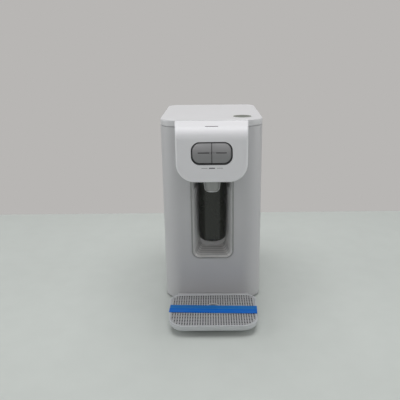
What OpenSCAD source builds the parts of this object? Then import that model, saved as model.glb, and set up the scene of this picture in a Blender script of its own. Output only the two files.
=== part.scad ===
// Table-top water purifier: casing, nose with two press buttons, filter niche and drip tray.
// Millimetres, +Z up, front towards -Y. The origin lies under the middle of the whole object.

/* [Casing] */
// Width of the casing
body_w = 180; // [172:1:210]
// Depth of the casing behind its front face
body_d = 234; // [228:1:280]
// Height of the lid above the table
body_h = 340; // [332:1:380]
// Wall of every moulded shell
wall = 2.5; // [2:0.1:3]
// Radius of the upright front corners
front_corner_r = 35; // [26:1:40]
// Radius of the upright back corners
back_corner_r = 22.5; // [16:0.5:26]
// Gap between the casing and the table
body_lift = 4; // [3:0.5:6]
// Height of the lid's skirt
lid_h = 11; // [8:0.5:14]
// Shadow gap between the lid and the casing
lid_seam = 1.2; // [0.6:0.1:2]
// Rounding of the lid's and the nose's upper edges
edge_r = 2; // [1:0.25:3]
// Depth of the rear cover
rear_cover_d = 28; // [26:1:34]

/* [Nose] */
// Width of the nose where it meets the casing
nose_w = 126; // [120:1:130]
// Width of the nose at its front face
nose_front_w = 114; // [110:1:118]
// Reach of the nose in front of the casing
nose_reach = 80; // [78:1:90]
// Height of the lid's top above the chin
nose_h = 89; // [86:1:96]
// Step from the lid down to the nose's top
nose_drop = 1.5; // [0.5:0.25:2]
// Radius of the bend between the nose's top and front
nose_bend_r = 20; // [14:1:20]
// Radius of the chin corners
chin_corner_r = 30; // [18:1:31]

/* [Buttons] */
// Width of the opening for both buttons
panel_w = 66; // [60:1:70]
// Height of the opening for both buttons
panel_h = 37; // [32:1:40]
// Corner radius of the opening
panel_r = 14; // [10:0.5:16]
// Height of the opening's middle above the chin
panel_rise = 47; // [45:1:47]
// Press travel of a button
button_travel = 2; // [1:0.25:2.5]
// How far a button stands out of the nose
button_proud = 1.2; // [0.6:0.2:2]
// Gap between the two buttons
button_split = 1; // [0.8:0.1:1.6]

/* [Spout] */
// Diameter of the spout at the chin
spout_d = 29; // [26:0.5:32]
// Diameter of the spout's tip
spout_tip_d = 25; // [22.5:0.5:26]
// Diameter of the nozzle under the tip
spout_nozzle_d = 21.5; // [18:0.5:22]
// Length of the spout below the chin
spout_len = 20.5; // [18:0.5:34]
// Bore of the spout
spout_bore = 9; // [8.5:0.5:11]
// Distance of the spout in front of the casing
spout_out = 55; // [50:1:56]

/* [Niche] */
// Width of the niche at the front
niche_w = 72; // [68:1:76]
// Width of the niche at its back wall
niche_back_w = 48; // [44:1:56]
// Depth of the niche
niche_d = 62; // [60:1:66]
// Height of the niche floor above the table
niche_floor_z = 87; // [80:1:100]
// Radius of the niche's lower corners
niche_corner_r = 12; // [8:1:16]

/* [Filter] */
// Diameter of the cartridge at its top
filter_d = 51; // [48:0.5:52]
// Diameter of the cartridge at its foot
filter_foot_d = 50; // [44:0.5:50.5]
// Room under the cartridge
filter_room = 26; // [26:1:40]
// Way that the cartridge drops when it is taken out
filter_drop = 22; // [20:1:24]
// Distance of the cartridge axis behind the casing's front
filter_in = 33; // [32:0.5:34]

/* [Drip tray] */
// Width of the drip tray near its back
tray_w = 156; // [152:1:166]
// Width of the drip tray near its front
tray_front_w = 150; // [140:1:152]
// Distance of the tray's front edge from the casing
tray_reach = 129; // [116:1:136]
// Height of the tray's rim above the table
tray_rim_z = 20; // [18.5:0.5:24]
// Height of the tray's underside above the table
tray_base_z = 9.5; // [9:0.5:10]
// Radius of the tray's front corners
tray_front_r = 28; // [22:1:30]
// Radius of the tray's back corners
tray_back_r = 20; // [12:1:22]
// How far the tray's round foot draws in
tray_draft = 4.5; // [2:0.5:5]
// Width of the tray's pale rim
tray_rim_w = 2.8; // [2:0.2:3.6]
// Depth of the dock ledge between the casing and the tray
dock_d = 17; // [16:1:26]
// Distance between grille slots, middle to middle
slot_pitch = 4.35; // [4:0.05:6]
// Width of a grille slot
slot_w = 2.2; // [1.6:0.1:2.8]
// Rows of grille slots from front to back
slot_rows = 11; // [6:1:12]
// Outer diameter of the grille's finger ring
ring_d = 26; // [22:1:30]
// Diameter of the grille's finger hole
finger_d = 20; // [16:1:21]

/* [Water] */
// Outer diameter of the inner tubes
tube_d = 8; // [6:0.5:9]
// Diameter of the supply tube that plugs into the inlet
supply_d = 6.35; // [6:0.05:8]
// Width of the tank
tank_w = 116; // [100:1:118]
// Depth of the tank
tank_d = 118; // [104:1:118]
// Height of the tank
tank_h = 174; // [140:1:176]

/* [Hidden] */

$fn = 96;
// Round forms inside a hull
loft_fn = 48;
// Thickness of a slice that only guides a hull
slice = 0.02;
// Cut that has to pass a face
past = 1;

// Gap between fixed pieces that slide together at assembly
fit = 0.3;
// Gap between a moving piece and its seat
seat_gap = 0.1;
// Gap of a guided stem or tube
slip = 0.1;

// Places that several pieces share, measured from the casing's front face
overall_d = tray_reach + body_d;
front_y = tray_reach - overall_d / 2;
shell_top = body_h - lid_h - lid_seam;
chin_z = body_h - nose_h;
nose_top = body_h - nose_drop;
rear_seam_y = body_d - rear_cover_d;
inner_w = body_w - 2 * wall;

// Base plate and feet
base_z = body_lift + 1;
base_t = 3;
base_top = base_z + base_t;
foot_d = 14;
foot_sink = 0.5;
foot_round = 1;
foot_edge = 20;
foot_front = 8;
base_rim_h = 6;
dock_w = tray_w - 24;
tongue_w = tray_w - 40;
tongue_d = tray_reach - 18;
tongue_r = 20;
tongue_top = tray_base_z - fit;
prong_w = 12;
prong_h = 2.2;
prong_len = 13;
prong_x = tray_w / 4;
prong_z = tray_base_z + 0.5;
dock_roof = 1.8;
dock_top = prong_z + prong_h + fit + dock_roof;

// Screws and their bosses
screw_d = 3;
screw_head_d = 6;
screw_head_h = 2.2;
boss_d = 9;
boss_sink = 0.5;
base_boss_h = 24;
base_screw_len = 14;
boss_blind = 2;
side_boss_x = inner_w / 2 - boss_d / 2 + boss_sink;
base_screw_y = [front_corner_r + 20, rear_seam_y - 22];

// Rear cover
lip_t = 1.8;
lip_d = 8;
rear_boss_d = 9;
rear_boss_len = 22;
rear_boss_x = body_w / 2 - back_corner_r - rear_boss_d;
rear_boss_z = shell_top - 30;
rear_screw_sink = 8;
rear_screw_len = rear_cover_d + 6;
rear_web_w = inner_w / 2 + boss_sink - rear_boss_x;
pocket_w = 112;
pocket_h = 44;
pocket_d = 24;
pocket_z = base_top + base_rim_h + fit + wall;
pocket_y = body_d - pocket_d;
vent_count = 9;
vent_w = 84;
vent_h = 3.2;
vent_pitch = 9;
vent_z = shell_top - 58;

// Lid
lid_lip_h = 8;
rear_lip_z0 = base_top + base_rim_h + fit;
rear_lip_z1 = shell_top - lid_lip_h - fit;
lid_fn = 72;

// Nose
nose_edge = 3;
nose_sink = 2;
nose_steps = 8;
nose_bend_end = asin(1 - nose_edge / nose_bend_r);
nose_min_r = 0.3;
nose_window_w = 94;
nose_window_top = shell_top - 6;
nose_boss_x = nose_window_w / 2 + 4.5;
nose_boss_z = [chin_z + 26, nose_window_top - 10];
nose_boss_d = 7;
nose_boss_len = 20;
nose_boss_end = 4;
nose_screw_len = wall + 10;
nose_rib_w = nose_half(-nose_boss_len) - wall / 4 - nose_boss_x;
chin_open_w = nose_front_w - 2 * chin_corner_r - 4;
chin_open_y = nose_reach - wall - 4;
chin_flange = 2;
chin_top = chin_z + 2 * wall;
lens_w = 21;
lens_d = 3.2;
lens_in = 18;
lens_y = nose_reach - lens_in;
lens_sink = 0.8;
lens_flange = 2;
lens_seat_z = nose_crest(-lens_y - lens_d / 2 - lens_flange, wall) - fit;
lens_top = nose_crest(-lens_y, 0) - lens_sink;

// Button works, stacked from the nose's front face inwards
panel_z = chin_z + panel_rise;
bezel_side = 1.2;
bezel_foot = 2.6;
bezel_flange = 2;
bezel_sink = 0.4;
bezel_t = 1.5;
button_gap = 0.5;
button_lip = 1.4;
button_lip_t = 1.5;
button_crown_r = 90;
button_edge_r = 3;
button_edge_step = 22.5;
face_y = -nose_reach;
bezel_back_y = face_y + wall + bezel_t;
lip_front_y = bezel_back_y + fit;
button_back_y = lip_front_y + button_lip_t;
spring_len = 8;
spring_d = 9.4;
spring_wire = 0.8;
spring_turns = 4;
carrier_y = button_back_y + spring_len;
carrier_t = 2;
carrier_w = panel_w + 28;
carrier_h = panel_h + 4;
carrier_r = 6;
post_d = 6;
post_x = panel_w / 2 + bezel_flange + post_d / 2 + 1;
post_z = 14;
stem_d = 5;
stem_past = 1;
stem_end_y = carrier_y + carrier_t + stem_past;
switch_y = stem_end_y + button_travel + fit;
switch_w = 6;
switch_t = 2.6;
switch_cap = 1;
switch_cap_d = 3.4;
board_y = switch_y + switch_t;
board_t = 1.6;
board_w = panel_w + 14;
board_h = panel_h + 1;
board_r = 3;
standoff_x = board_w / 2 - 4;
standoff_z = board_h / 2 - 4;
standoff_d = 5;
button_x = panel_w / 4;

// Spout
spout_stem_d = 16;
spout_stem_z = chin_top + 10;
gasket_t = 1;
spout_nut_d = 24;
spout_nut_h = 5;
nozzle_h = 2.5;
nozzle_edge = 1;
nozzle_cup = 3;
nozzle_wall = 2;
socket_depth = 10;
socket_d = tube_d + 2 * slip;
port_d = tube_d + 6;

// Niche
rib_h = 0.8;
rib_w = 2.2;
rib_pitch = 9.5;
rib_y = 10;
rib_count = 5;
niche_flange = 5;
niche_flange_t = 2;
niche_set = 0.8;
head_pad = 1;

// Filter and its head
filter_foot_z = niche_floor_z + filter_room;
filter_foot_r = 7;
filter_wall = 2;
ring_z = chin_z + wall + fit;
ring_h = 19;
ring_wall = 2.6;
lug_h = 7;
lug_w = 10;
lug_reach = 3;
lug_gap = 0.3;
lug_count = 3;
lug_z = ring_z + 8;
cap_z = ring_z + 2;
cap_top = ring_z + ring_h - 2;
ring_in_r = filter_d / 2 + 0.8;
lug_r = filter_d / 2 + lug_reach;
ring_out_r = lug_r + lug_gap + ring_wall;
head_r = ring_out_r + fit + 4;
head_floor_z = chin_z + wall;
ring_room_top = ring_z + ring_h + fit;
neck_d = 24;
neck_clear = 4;
neck_len = filter_drop - neck_clear;
neck_gap = 0.3;
neck_room = 2;
neck_top = cap_top + 3 + neck_len;
head_top = neck_top + 5;
o_ring_r = 1.1;
o_ring_gap = 0.05;
o_ring_mid = neck_d / 2 + neck_gap - o_ring_gap - o_ring_r;
o_ring_z = [neck_top - 5, neck_top - 12];
port_x = 20;
port_top = head_top + 7;
drill_d = 5;
cross_drill_d = 4;
cross_drill_in = 1;
carbon_gap = 2;
carbon_core = 10;
manifold_screw_r = head_r + 5;
manifold_flange_t = 4;
manifold_web = boss_d - 2;

// Water path behind the niche
bend_r = 12;
outlet_bend_r = 10;
tube_bore = tube_d - 3;
port_z = base_top + 26;
tank_side_gap = 7.5;
tank_x = -inner_w / 2 + tank_side_gap;
tank_y = niche_d + 18;
pump_r = 22;
pump_gap = 1.5;
pump_x = inner_w / 2 - pump_r - pump_gap;
pump_y = tank_y + 25;
pump_h = 24;
pump_z = base_top + base_rim_h + 1;
pump_foot_in = 4;
pump_port_len = 8;
pump_port_root = 4;
pump_riser = 6;
pump_port_z = pump_z + pump_h / 2;
motor_r = 18;
motor_h = 34;
motor_gap = 3;
tank_z = pump_z + pump_h + motor_h + motor_gap;
tank_wall = 2.5;
tank_r = 10;
tank_flange = 5;
tank_flange_t = 4;
tank_gasket_t = 1.5;
tank_gasket_in = 1;
tank_cover_t = 3;
tank_port_len = 12;
tank_top = tank_z + tank_h;
cover_top = tank_top + tank_gasket_t + tank_cover_t;
cover_drill = tank_gasket_t + tank_cover_t + tank_port_len + past;
tank_post_d = 14;
tank_post_x = 26;
tank_post_y = 10;
riser_y = niche_d + wall + (tank_y - niche_d - wall) / 2;
over_z = min(shell_top - tube_d, head_top + 30);
tank_in_y = tank_y + 30;
tank_out_in = 16;
suction_leg = 14;
tank_out_x = min(tank_x + tank_w - tank_out_in, pump_x - pump_r - pump_port_len - suction_leg);
tank_out_y = pump_y;
valve_w = 30;
valve_l = 30;
valve_h = 24;
valve_y = tank_y + 78;
valve_port = 8;
coil_d = 26;
coil_h = 14;
probe_d = 3;
probe_x = tank_x + 40;
probe_step = 14;
probe_foot = 10;
outlet_y = pump_y - pump_r - 4;
outlet_z = chin_top + 22;
outlet_edge = 6;
outlet_slack = 3;
outlet_x = min(nose_window_w / 2 - outlet_edge, pump_x - 2 * outlet_bend_r - outlet_slack);
outlet_turn_y = -24;

// Electrics on the right wall
power_x = inner_w / 2 - 6;
power_t = 1.6;
power_y = tank_y + 42;
power_d = 76;
power_z = base_top + 84;
power_h = 110;
power_post_d = 7;
power_post_in = 6;
// Transformer, capacitor and plugs: depth, width and height, then place on the board
transformer = [22, 30, 34];
transformer_at = [34, 20];
can_d = 18;
can_len = 20;
can_at = [18, 34];
plug = [10, 16, 12];
mains_plug_at = [46, 76];
signal_plug_at = [8, 88];
wire_d = 5;
wire_in = 4;
wire_bend = 8;
wire_x = power_x - power_t - 6;
mains_y = power_y + transformer_at[0] + 20;
signal_y = power_y + signal_plug_at[0] + plug.y / 2;
signal_z = outlet_z + 30;
signal_turn_y = outlet_y + 20;
gland_x = 38;
gland_d = 16;
gland_bore = 7;
gland_in = 10;
gland_out = 10;
gland_flange_d = gland_d + 6;
gland_flange_t = 3;
gland_nut_t = 5;
inlet_x = -port_x;
inlet_d = 14;
inlet_flange_d = 22;
inlet_flange_t = 4;
inlet_out = 16;
inlet_in = 20;
inlet_bore = supply_d + 0.05;
inlet_bore_len = 15;
inlet_nut_d = 24;
inlet_nut_t = 5;

// Drip tray
tray_floor_t = 1.8;
tray_band = 4;
tray_bend_z = tray_rim_z - tray_band;
tray_back = dock_d + fit;
tray_front_mid = [tray_front_w / 2 - tray_front_r, -tray_reach + tray_front_r];
tray_back_mid = [tray_w / 2 - tray_back_r, -tray_back - tray_back_r];
tray_flank = tray_back_mid - tray_front_mid;
// Angle of the line that touches a front and a back corner
tray_side_a = atan2(tray_flank.y, tray_flank.x) - acos((tray_front_r - tray_back_r) / norm(tray_flank));
tray_side = [cos(tray_side_a), sin(tray_side_a)];
grille_t = 1.8;
grille_sink = 0.4;
grille_seat_z = tray_rim_z - grille_t - grille_sink;
grille_ledge = 3;
grille_gap = 0.3;
grille_in = tray_rim_w + grille_gap;
grille_margin = 2;
field_in = grille_in + grille_margin;
field_front = tray_front_mid + (tray_front_r - field_in) * tray_side;
field_back = tray_back_mid + (tray_back_r - field_in) * tray_side;
prong_root = tray_rim_w + grille_ledge - 2 * slip;
ring_y = tray_back + 47;
ring_rise = 0.3;
bar_w = 1.8;
row_pitch = (tray_reach - tray_back - 2 * field_in + bar_w) / slot_rows;
rib_rows = [4, 8];
rib_drop = 2;
rib_t = 1.6;
rib_end = 4;
rib_half = tray_front_w / 2 - grille_in - grille_ledge - rib_end;

white = "whitesmoke";
pale = "gainsboro";

// Everything is drawn from the casing's front face and then set in the shared frame.
module in_place() translate([0, front_y, 0]) children();

// A solid drawn along +Z, turned to run along +Y
module along_y() rotate([-90, 0, 0]) children();

// A plan in X and Z, drawn with its own Y upwards, extruded from y0 to y1
module upright(y0, y1) translate([0, y1, 0]) rotate([90, 0, 0]) linear_extrude(y1 - y0) children();

// Rectangle with round corners, its middle at the origin
module rounded(w, h, r) {
    square([w - 2 * r, h], center = true);
    square([w, h - 2 * r], center = true);
    for (sx = [-1, 1], sy = [-1, 1])
        translate([sx * (w / 2 - r), sy * (h / 2 - r)]) circle(r);
}

// Plan with its own front and back corner radii, from y0 back to y1
module two_radius_plan(w, y0, y1, front_r, back_r) {
    translate([-w / 2, y0 + front_r]) square([w, y1 - y0 - front_r - back_r]);
    translate([-w / 2 + front_r, y0]) square([w - 2 * front_r, y1 - y0 - back_r]);
    translate([-w / 2 + back_r, y0 + front_r]) square([w - 2 * back_r, y1 - y0 - front_r]);
    for (s = [-1, 1]) {
        translate([s * (w / 2 - front_r), y0 + front_r]) circle(front_r);
        translate([s * (w / 2 - back_r), y1 - back_r]) circle(back_r);
    }
}

// Plan of the casing, drawn in by inset
module casing_plan(inset = 0) two_radius_plan(
    body_w - 2 * inset, inset, body_d - inset, front_corner_r - inset, back_corner_r - inset
);

// Wall that follows the casing between two insets
module casing_wall(outer, inner, z0, z1)
    translate([0, 0, z0]) linear_extrude(z1 - z0) difference() {
        casing_plan(outer);
        casing_plan(inner);
    }

// Room behind a plane across the casing
module behind(y) translate([-body_w, y, -past]) cube([2 * body_w, body_d, body_h + 2 * past]);

// Room in front of a plane across the casing
module before(y) translate([-body_w, y - body_d, -past]) cube([2 * body_w, body_d, body_h + 2 * past]);

// Screw with a flat head at the origin, its shank along +Z
module screw(length) {
    translate([0, 0, -screw_head_h]) cylinder(d = screw_head_d, h = screw_head_h);
    cylinder(d = screw_d, h = length);
}

// Clear hole for a screw and its head, placed as the screw is
module screw_hole(length) {
    translate([0, 0, -screw_head_h - past]) cylinder(d = screw_head_d + 2 * fit, h = screw_head_h + past);
    cylinder(d = screw_d + 2 * slip, h = length);
}

function unit(v) = v / norm(v);
function across(d) = abs(d.z) < 0.5 ? cross([0, 0, 1], d) : [1, 0, 0];

// Places children drawn at the origin into the frame of three unit vectors
module framed(at, vx, vy, vz) multmatrix([
    [vx.x, vy.x, vz.x, at.x],
    [vx.y, vy.y, vz.y, at.y],
    [vx.z, vy.z, vz.z, at.z],
    [0, 0, 0, 1]
]) children();

module tube_section(outer, bore) difference() {
    circle(d = outer);
    if (bore > 0) circle(d = bore);
}

// Tube along points whose legs meet square, with round elbows
module tube_run(points, outer, bore, bend) {
    last = len(points) - 1;
    for (i = [0 : last - 1]) {
        dir = unit(points[i + 1] - points[i]);
        from = points[i] + (i > 0 ? bend : 0) * dir;
        to = points[i + 1] - (i < last - 1 ? bend : 0) * dir;
        framed(from, across(dir), cross(dir, across(dir)), dir)
            linear_extrude(norm(to - from)) tube_section(outer, bore);
    }
    for (i = [1 : last - 1]) {
        arriving = unit(points[i] - points[i - 1]);
        leaving = unit(points[i + 1] - points[i]);
        framed(points[i] + bend * (leaving - arriving), -leaving, arriving, cross(-leaving, arriving))
            rotate_extrude(angle = 90) translate([bend, 0]) tube_section(outer, bore);
    }
}

// Base plate with the dock and the tongue that carries the drip tray

module base_plate() color(white) in_place() difference() {
    union() {
        translate([0, 0, base_z]) linear_extrude(base_t) casing_plan(wall + fit);
        casing_wall(wall + fit, wall + fit + lip_t, base_z, base_top + base_rim_h);
        translate([-dock_w / 2, -dock_d, base_z])
            cube([dock_w, dock_d + wall + fit + lip_t, dock_top - base_z]);
        translate([0, -tongue_d / 2, base_z])
            linear_extrude(tongue_top - base_z) rounded(tongue_w, tongue_d, tongue_r);
        translate([-tongue_w / 2, -tongue_d / 2, base_z])
            cube([tongue_w, tongue_d / 2, tongue_top - base_z]);
        tank_posts();
        translate([inlet_x - valve_w / 3, valve_y - valve_l / 3, base_z])
            cube([valve_w * 2 / 3, valve_l * 2 / 3, port_z - valve_h / 2 - base_z]);
        translate([pump_x, pump_y, base_z]) cylinder(r = pump_r - pump_foot_in, h = pump_z - base_z);
    }
    translate([-dock_w / 2 + wall, -dock_d + wall, base_z - past])
        cube([dock_w - 2 * wall, dock_d - wall, dock_top - dock_roof - base_z + past]);
    for (s = [-1, 1])
        translate([s * prong_x - prong_w / 2 - fit, -dock_d - past, prong_z - fit])
            cube([prong_w + 2 * fit, wall + 2 * past, prong_h + 2 * fit]);
    for (s = [-1, 1], y = base_screw_y) {
        translate([s * side_boss_x, y, base_z + screw_head_h]) screw_hole(base_boss_h);
        translate([s * side_boss_x, y, base_top]) cylinder(d = boss_d + 2 * fit, h = base_boss_h);
    }
    for (p = foot_places)
        translate([p.x, p.y, base_z - past]) cylinder(d = foot_d + 2 * slip, h = past + foot_sink);
}

foot_places = [
    for (s = [-1, 1]) for (y = [front_corner_r - foot_front, body_d - foot_edge])
        [s * (body_w / 2 - foot_edge), y],
    for (s = [-1, 1]) [s * (tongue_w / 2 - foot_edge), -tongue_d + foot_edge]
];

module rubber_feet() color("dimgray") in_place() for (p = foot_places)
    translate([p.x, p.y, 0]) rotate_extrude() polygon([
        [0, 0],
        [foot_d / 2 - foot_round, 0],
        [foot_d / 2, foot_round],
        [foot_d / 2, base_z + foot_sink],
        [0, base_z + foot_sink]
    ]);

// Four posts that carry the tank
module tank_posts()
    for (x = [tank_post_x, tank_w - tank_post_x], y = [tank_post_y, tank_d - tank_post_y])
        translate([tank_x + x, tank_y + y, base_z]) cylinder(d = tank_post_d, h = tank_z - base_z);

// Casing: front, sides and the openings in the front

module body_shell() color(white) in_place() difference() {
    union() {
        difference() {
            casing_wall(0, wall, body_lift, shell_top);
            behind(rear_seam_y - fit / 2);
        }
        for (s = [-1, 1]) {
            for (y = base_screw_y)
                translate([s * side_boss_x, y, base_top + fit]) cylinder(d = boss_d, h = base_boss_h);
            translate([s * rear_boss_x, rear_seam_y - rear_boss_len - lip_d, rear_boss_z])
                along_y() cylinder(d = rear_boss_d, h = rear_boss_len);
            translate([
                s * (rear_boss_x + rear_web_w / 2), rear_seam_y - rear_boss_len / 2 - lip_d, rear_boss_z
            ]) cube([rear_web_w, rear_boss_len, wall], center = true);
        }
        for (y = power_posts_y, z = power_posts_z)
            translate([power_x, y, z]) rotate([0, 90, 0])
                cylinder(d = power_post_d, h = inner_w / 2 - power_x + boss_sink);
    }
    niche_opening();
    translate([-nose_window_w / 2, -past, chin_z + wall])
        cube([nose_window_w, wall + 2 * past, nose_window_top - chin_z - wall]);
    translate([-dock_w / 2 - fit, -past, body_lift - past])
        cube([dock_w + 2 * fit, front_corner_r / 3, dock_top + fit - body_lift + past]);
    for (s = [-1, 1], y = base_screw_y)
        translate([s * side_boss_x, y, base_top]) cylinder(d = screw_d + 2 * slip, h = base_screw_len);
    for (s = [-1, 1])
        translate([s * rear_boss_x, rear_seam_y - rear_boss_len - lip_d - past, rear_boss_z])
            along_y() cylinder(d = screw_d + 2 * slip, h = rear_boss_len + 2 * past);
    for (s = [-1, 1], z = nose_boss_z)
        translate([s * nose_boss_x, -past, z])
            along_y() cylinder(d = screw_d + 2 * slip, h = wall + 2 * past);
}

power_posts_y = [power_y + power_post_in, power_y + power_d - power_post_in];
power_posts_z = [power_z + power_post_in, power_z + power_h - power_post_in];

// Hole in the casing's front that takes the niche liner
module niche_opening() {
    half = niche_w / 2 + wall + fit;
    low = niche_floor_z - wall - fit;
    r = niche_corner_r + wall + fit;
    upright(-past, wall + past) {
        translate([-half, low + r]) square([2 * half, chin_z + 2 * wall - low - r]);
        translate([-half + r, low]) square([2 * half - 2 * r, r]);
        for (s = [-1, 1]) translate([s * (half - r), low + r]) circle(r);
    }
}

// Rear cover with vents, screw towers and the pocket for the water inlet and the cable

module rear_cover() color(white) in_place() difference() {
    union() {
        difference() {
            union() {
                casing_wall(0, wall, body_lift, shell_top);
                casing_wall(wall - boss_sink, wall + fit + lip_t, rear_lip_z0, rear_lip_z1);
            }
            before(rear_seam_y + fit / 2);
        }
        intersection() {
            difference() {
                casing_wall(wall + fit, wall + fit + lip_t, rear_lip_z0, rear_lip_z1);
                before(rear_seam_y - lip_d + fit);
            }
            before(rear_seam_y + past);
        }
        for (s = [-1, 1])
            translate([s * rear_boss_x, rear_seam_y - lip_d + fit, rear_boss_z])
                along_y() cylinder(d = rear_boss_d, h = body_d - rear_seam_y + lip_d - fit);
        translate([-pocket_w / 2 - wall, pocket_y - wall, pocket_z - wall])
            cube([pocket_w + 2 * wall, pocket_d + wall, pocket_h + 2 * wall]);
    }
    translate([-pocket_w / 2, pocket_y, pocket_z]) cube([pocket_w, pocket_d + past, pocket_h]);
    translate([inlet_x, pocket_y - wall - past, port_z])
        along_y() cylinder(d = inlet_d + 2 * slip, h = wall + 2 * past);
    translate([gland_x, pocket_y - wall - past, port_z])
        along_y() cylinder(d = gland_d + 2 * slip, h = wall + 2 * past);
    for (i = [0 : vent_count - 1])
        translate([0, 0, vent_z - i * vent_pitch]) upright(body_d - wall - past, body_d + past)
            rounded(vent_w, vent_h, vent_h / 2 - slice);
    for (s = [-1, 1])
        translate([s * rear_boss_x, body_d - rear_screw_sink, rear_boss_z])
            rotate([90, 0, 0]) screw_hole(body_d);
}

// Flat lid with a rounded upper edge and a lip that drops into the casing

module top_lid() color(white) in_place() {
    difference() {
        hull() {
            translate([0, 0, body_h - lid_h]) linear_extrude(lid_h - edge_r) casing_plan(0, $fn = lid_fn);
            for (a = [30, 60, 90])
                translate([0, 0, body_h - edge_r]) linear_extrude(edge_r * sin(a))
                    casing_plan(edge_r * (1 - cos(a)), $fn = lid_fn);
        }
        translate([0, 0, body_h - lid_h - past]) linear_extrude(lid_h - wall + past) casing_plan(wall + fit);
    }
    difference() {
        casing_wall(wall + fit, wall + fit + lip_t, shell_top - lid_lip_h, body_h - wall);
        translate([-nose_window_w / 2 - 2 * boss_d, 0, 0])
            cube([nose_window_w + 4 * boss_d, front_corner_r / 2, shell_top]);
    }
}

// Niche that the filter hangs in

// Slice of the niche at one depth: four corner discs of the liner, grown by its wall
module niche_slice(y, width, grow) for (s = [-1, 1]) {
    translate([s * (width / 2 - niche_corner_r), y, niche_floor_z + niche_corner_r])
        along_y() cylinder(r = niche_corner_r + grow, h = slice, $fn = loft_fn);
    translate([s * (width / 2 + grow - slice), y, chin_z + wall - slice])
        along_y() cylinder(r = slice, h = slice, $fn = 8);
}

module niche_loft(grow, y0, y1) hull() {
    niche_slice(y0, niche_w, grow);
    niche_slice(y1, niche_back_w, grow);
}

module niche_liner() color(pale) in_place() difference() {
    union() {
        niche_loft(wall, niche_set, niche_d + wall - slice);
        niche_front_flange();
        translate([-head_r - head_pad, fit, chin_z])
            cube([2 * (head_r + head_pad), niche_d + 2 * wall - fit, wall]);
        for (a = manifold_screw_angles)
            translate([manifold_screw_r * cos(a), filter_in + manifold_screw_r * sin(a), chin_z])
                cylinder(d = boss_d, h = wall);
    }
    difference() {
        niche_loft(0, -slice, niche_d);
        translate([-niche_w, -past, chin_z]) cube([2 * niche_w, 2 * niche_d, 2 * wall]);
        for (i = [0 : rib_count - 1])
            translate([-niche_w, rib_y + i * rib_pitch, niche_floor_z - past])
                cube([2 * niche_w, rib_w, rib_h + past]);
    }
    translate([0, filter_in, chin_z - past]) cylinder(r = lug_r + lug_gap + fit, h = wall + 2 * past);
    for (a = manifold_screw_angles)
        translate([manifold_screw_r * cos(a), filter_in + manifold_screw_r * sin(a), chin_z - past])
            cylinder(d = screw_d + 2 * slip, h = wall + 2 * past);
}

// Frame behind the casing's front that the liner is held by
module niche_front_flange() {
    half = niche_w / 2 + wall;
    low = niche_floor_z - wall;
    difference() {
        translate([-half - niche_flange, wall, low - niche_flange])
            cube([2 * half + 2 * niche_flange, niche_flange_t, chin_z + wall - low + niche_flange]);
        niche_loft(wall / 2, -slice, niche_d + wall);
    }
}

manifold_screw_angles = [0, 180];

// Nose: lofted skin with a bent top front edge and round chin corners

function nose_half(y) = (nose_w + (nose_front_w - nose_w) * min(1, -y / nose_reach)) / 2;

// Height of the nose's top and bend at y, drawn in by inset
function nose_crest(y, inset) = let (
    bend = nose_bend_r - inset,
    over = max(0, -y - nose_reach + nose_bend_r)
) nose_top - nose_bend_r + sqrt(max(0, bend * bend - over * over));

// Corners of the nose's section at y, run back into the casing and drawn in by inset at the sides and chin
module nose_section(y, inset) {
    half = nose_half(y) - inset;
    chin_r = chin_corner_r - inset;
    top_r = max(edge_r - inset, nose_min_r);
    for (s = [-1, 1]) {
        translate([s * (half - chin_r), y, chin_z + inset + chin_r])
            along_y() cylinder(r = chin_r, h = nose_sink - y, $fn = loft_fn);
        translate([s * (half - top_r), y, nose_crest(y, 0) - top_r])
            along_y() cylinder(r = top_r, h = nose_sink - y, $fn = loft_fn / 3);
    }
}

// Skin of the nose as a full form: back, bend and rounded front edges
module nose_skin() hull() {
    nose_section(0, 0);
    for (i = [0 : nose_steps])
        nose_section(-nose_reach + nose_bend_r * (1 - sin(nose_bend_end * i / nose_steps)), 0);
    for (i = [1 : nose_steps])
        nose_section(
            -nose_reach + nose_edge * (1 - sin(90 * i / nose_steps)),
            nose_edge * (1 - cos(90 * i / nose_steps))
        );
}

// Room inside the nose, a wall in from its skin
module nose_room() {
    front = -nose_reach + wall;
    back = nose_sink + past;
    bend = nose_bend_r - wall;
    half = nose_front_w / 2 - wall;
    chin_r = chin_corner_r - wall;
    low = chin_z + wall;
    intersection() {
        translate([0, 0, chin_z]) linear_extrude(nose_h) polygon([
            [-nose_half(0) + wall, back],
            [nose_half(0) - wall, back],
            [half, -nose_reach],
            [-half, -nose_reach]
        ]);
        rotate([90, 0, 90]) linear_extrude(2 * nose_w, center = true) {
            translate([front + bend, chin_z - past])
                square([nose_reach + nose_bend_r, nose_top - wall - chin_z + past]);
            translate([front, chin_z - past])
                square([2 * bend, nose_top - wall - bend - chin_z + past]);
            translate([front + bend, nose_top - wall - bend]) circle(bend);
        }
        upright(-nose_reach - past, back + past) {
            translate([-nose_w, low + chin_r]) square([2 * nose_w, nose_h]);
            translate([-half + chin_r, low]) square([2 * (half - chin_r), 2 * chin_r]);
            for (s = [-1, 1]) translate([s * (half - chin_r), low + chin_r]) circle(chin_r);
        }
    }
}

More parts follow.
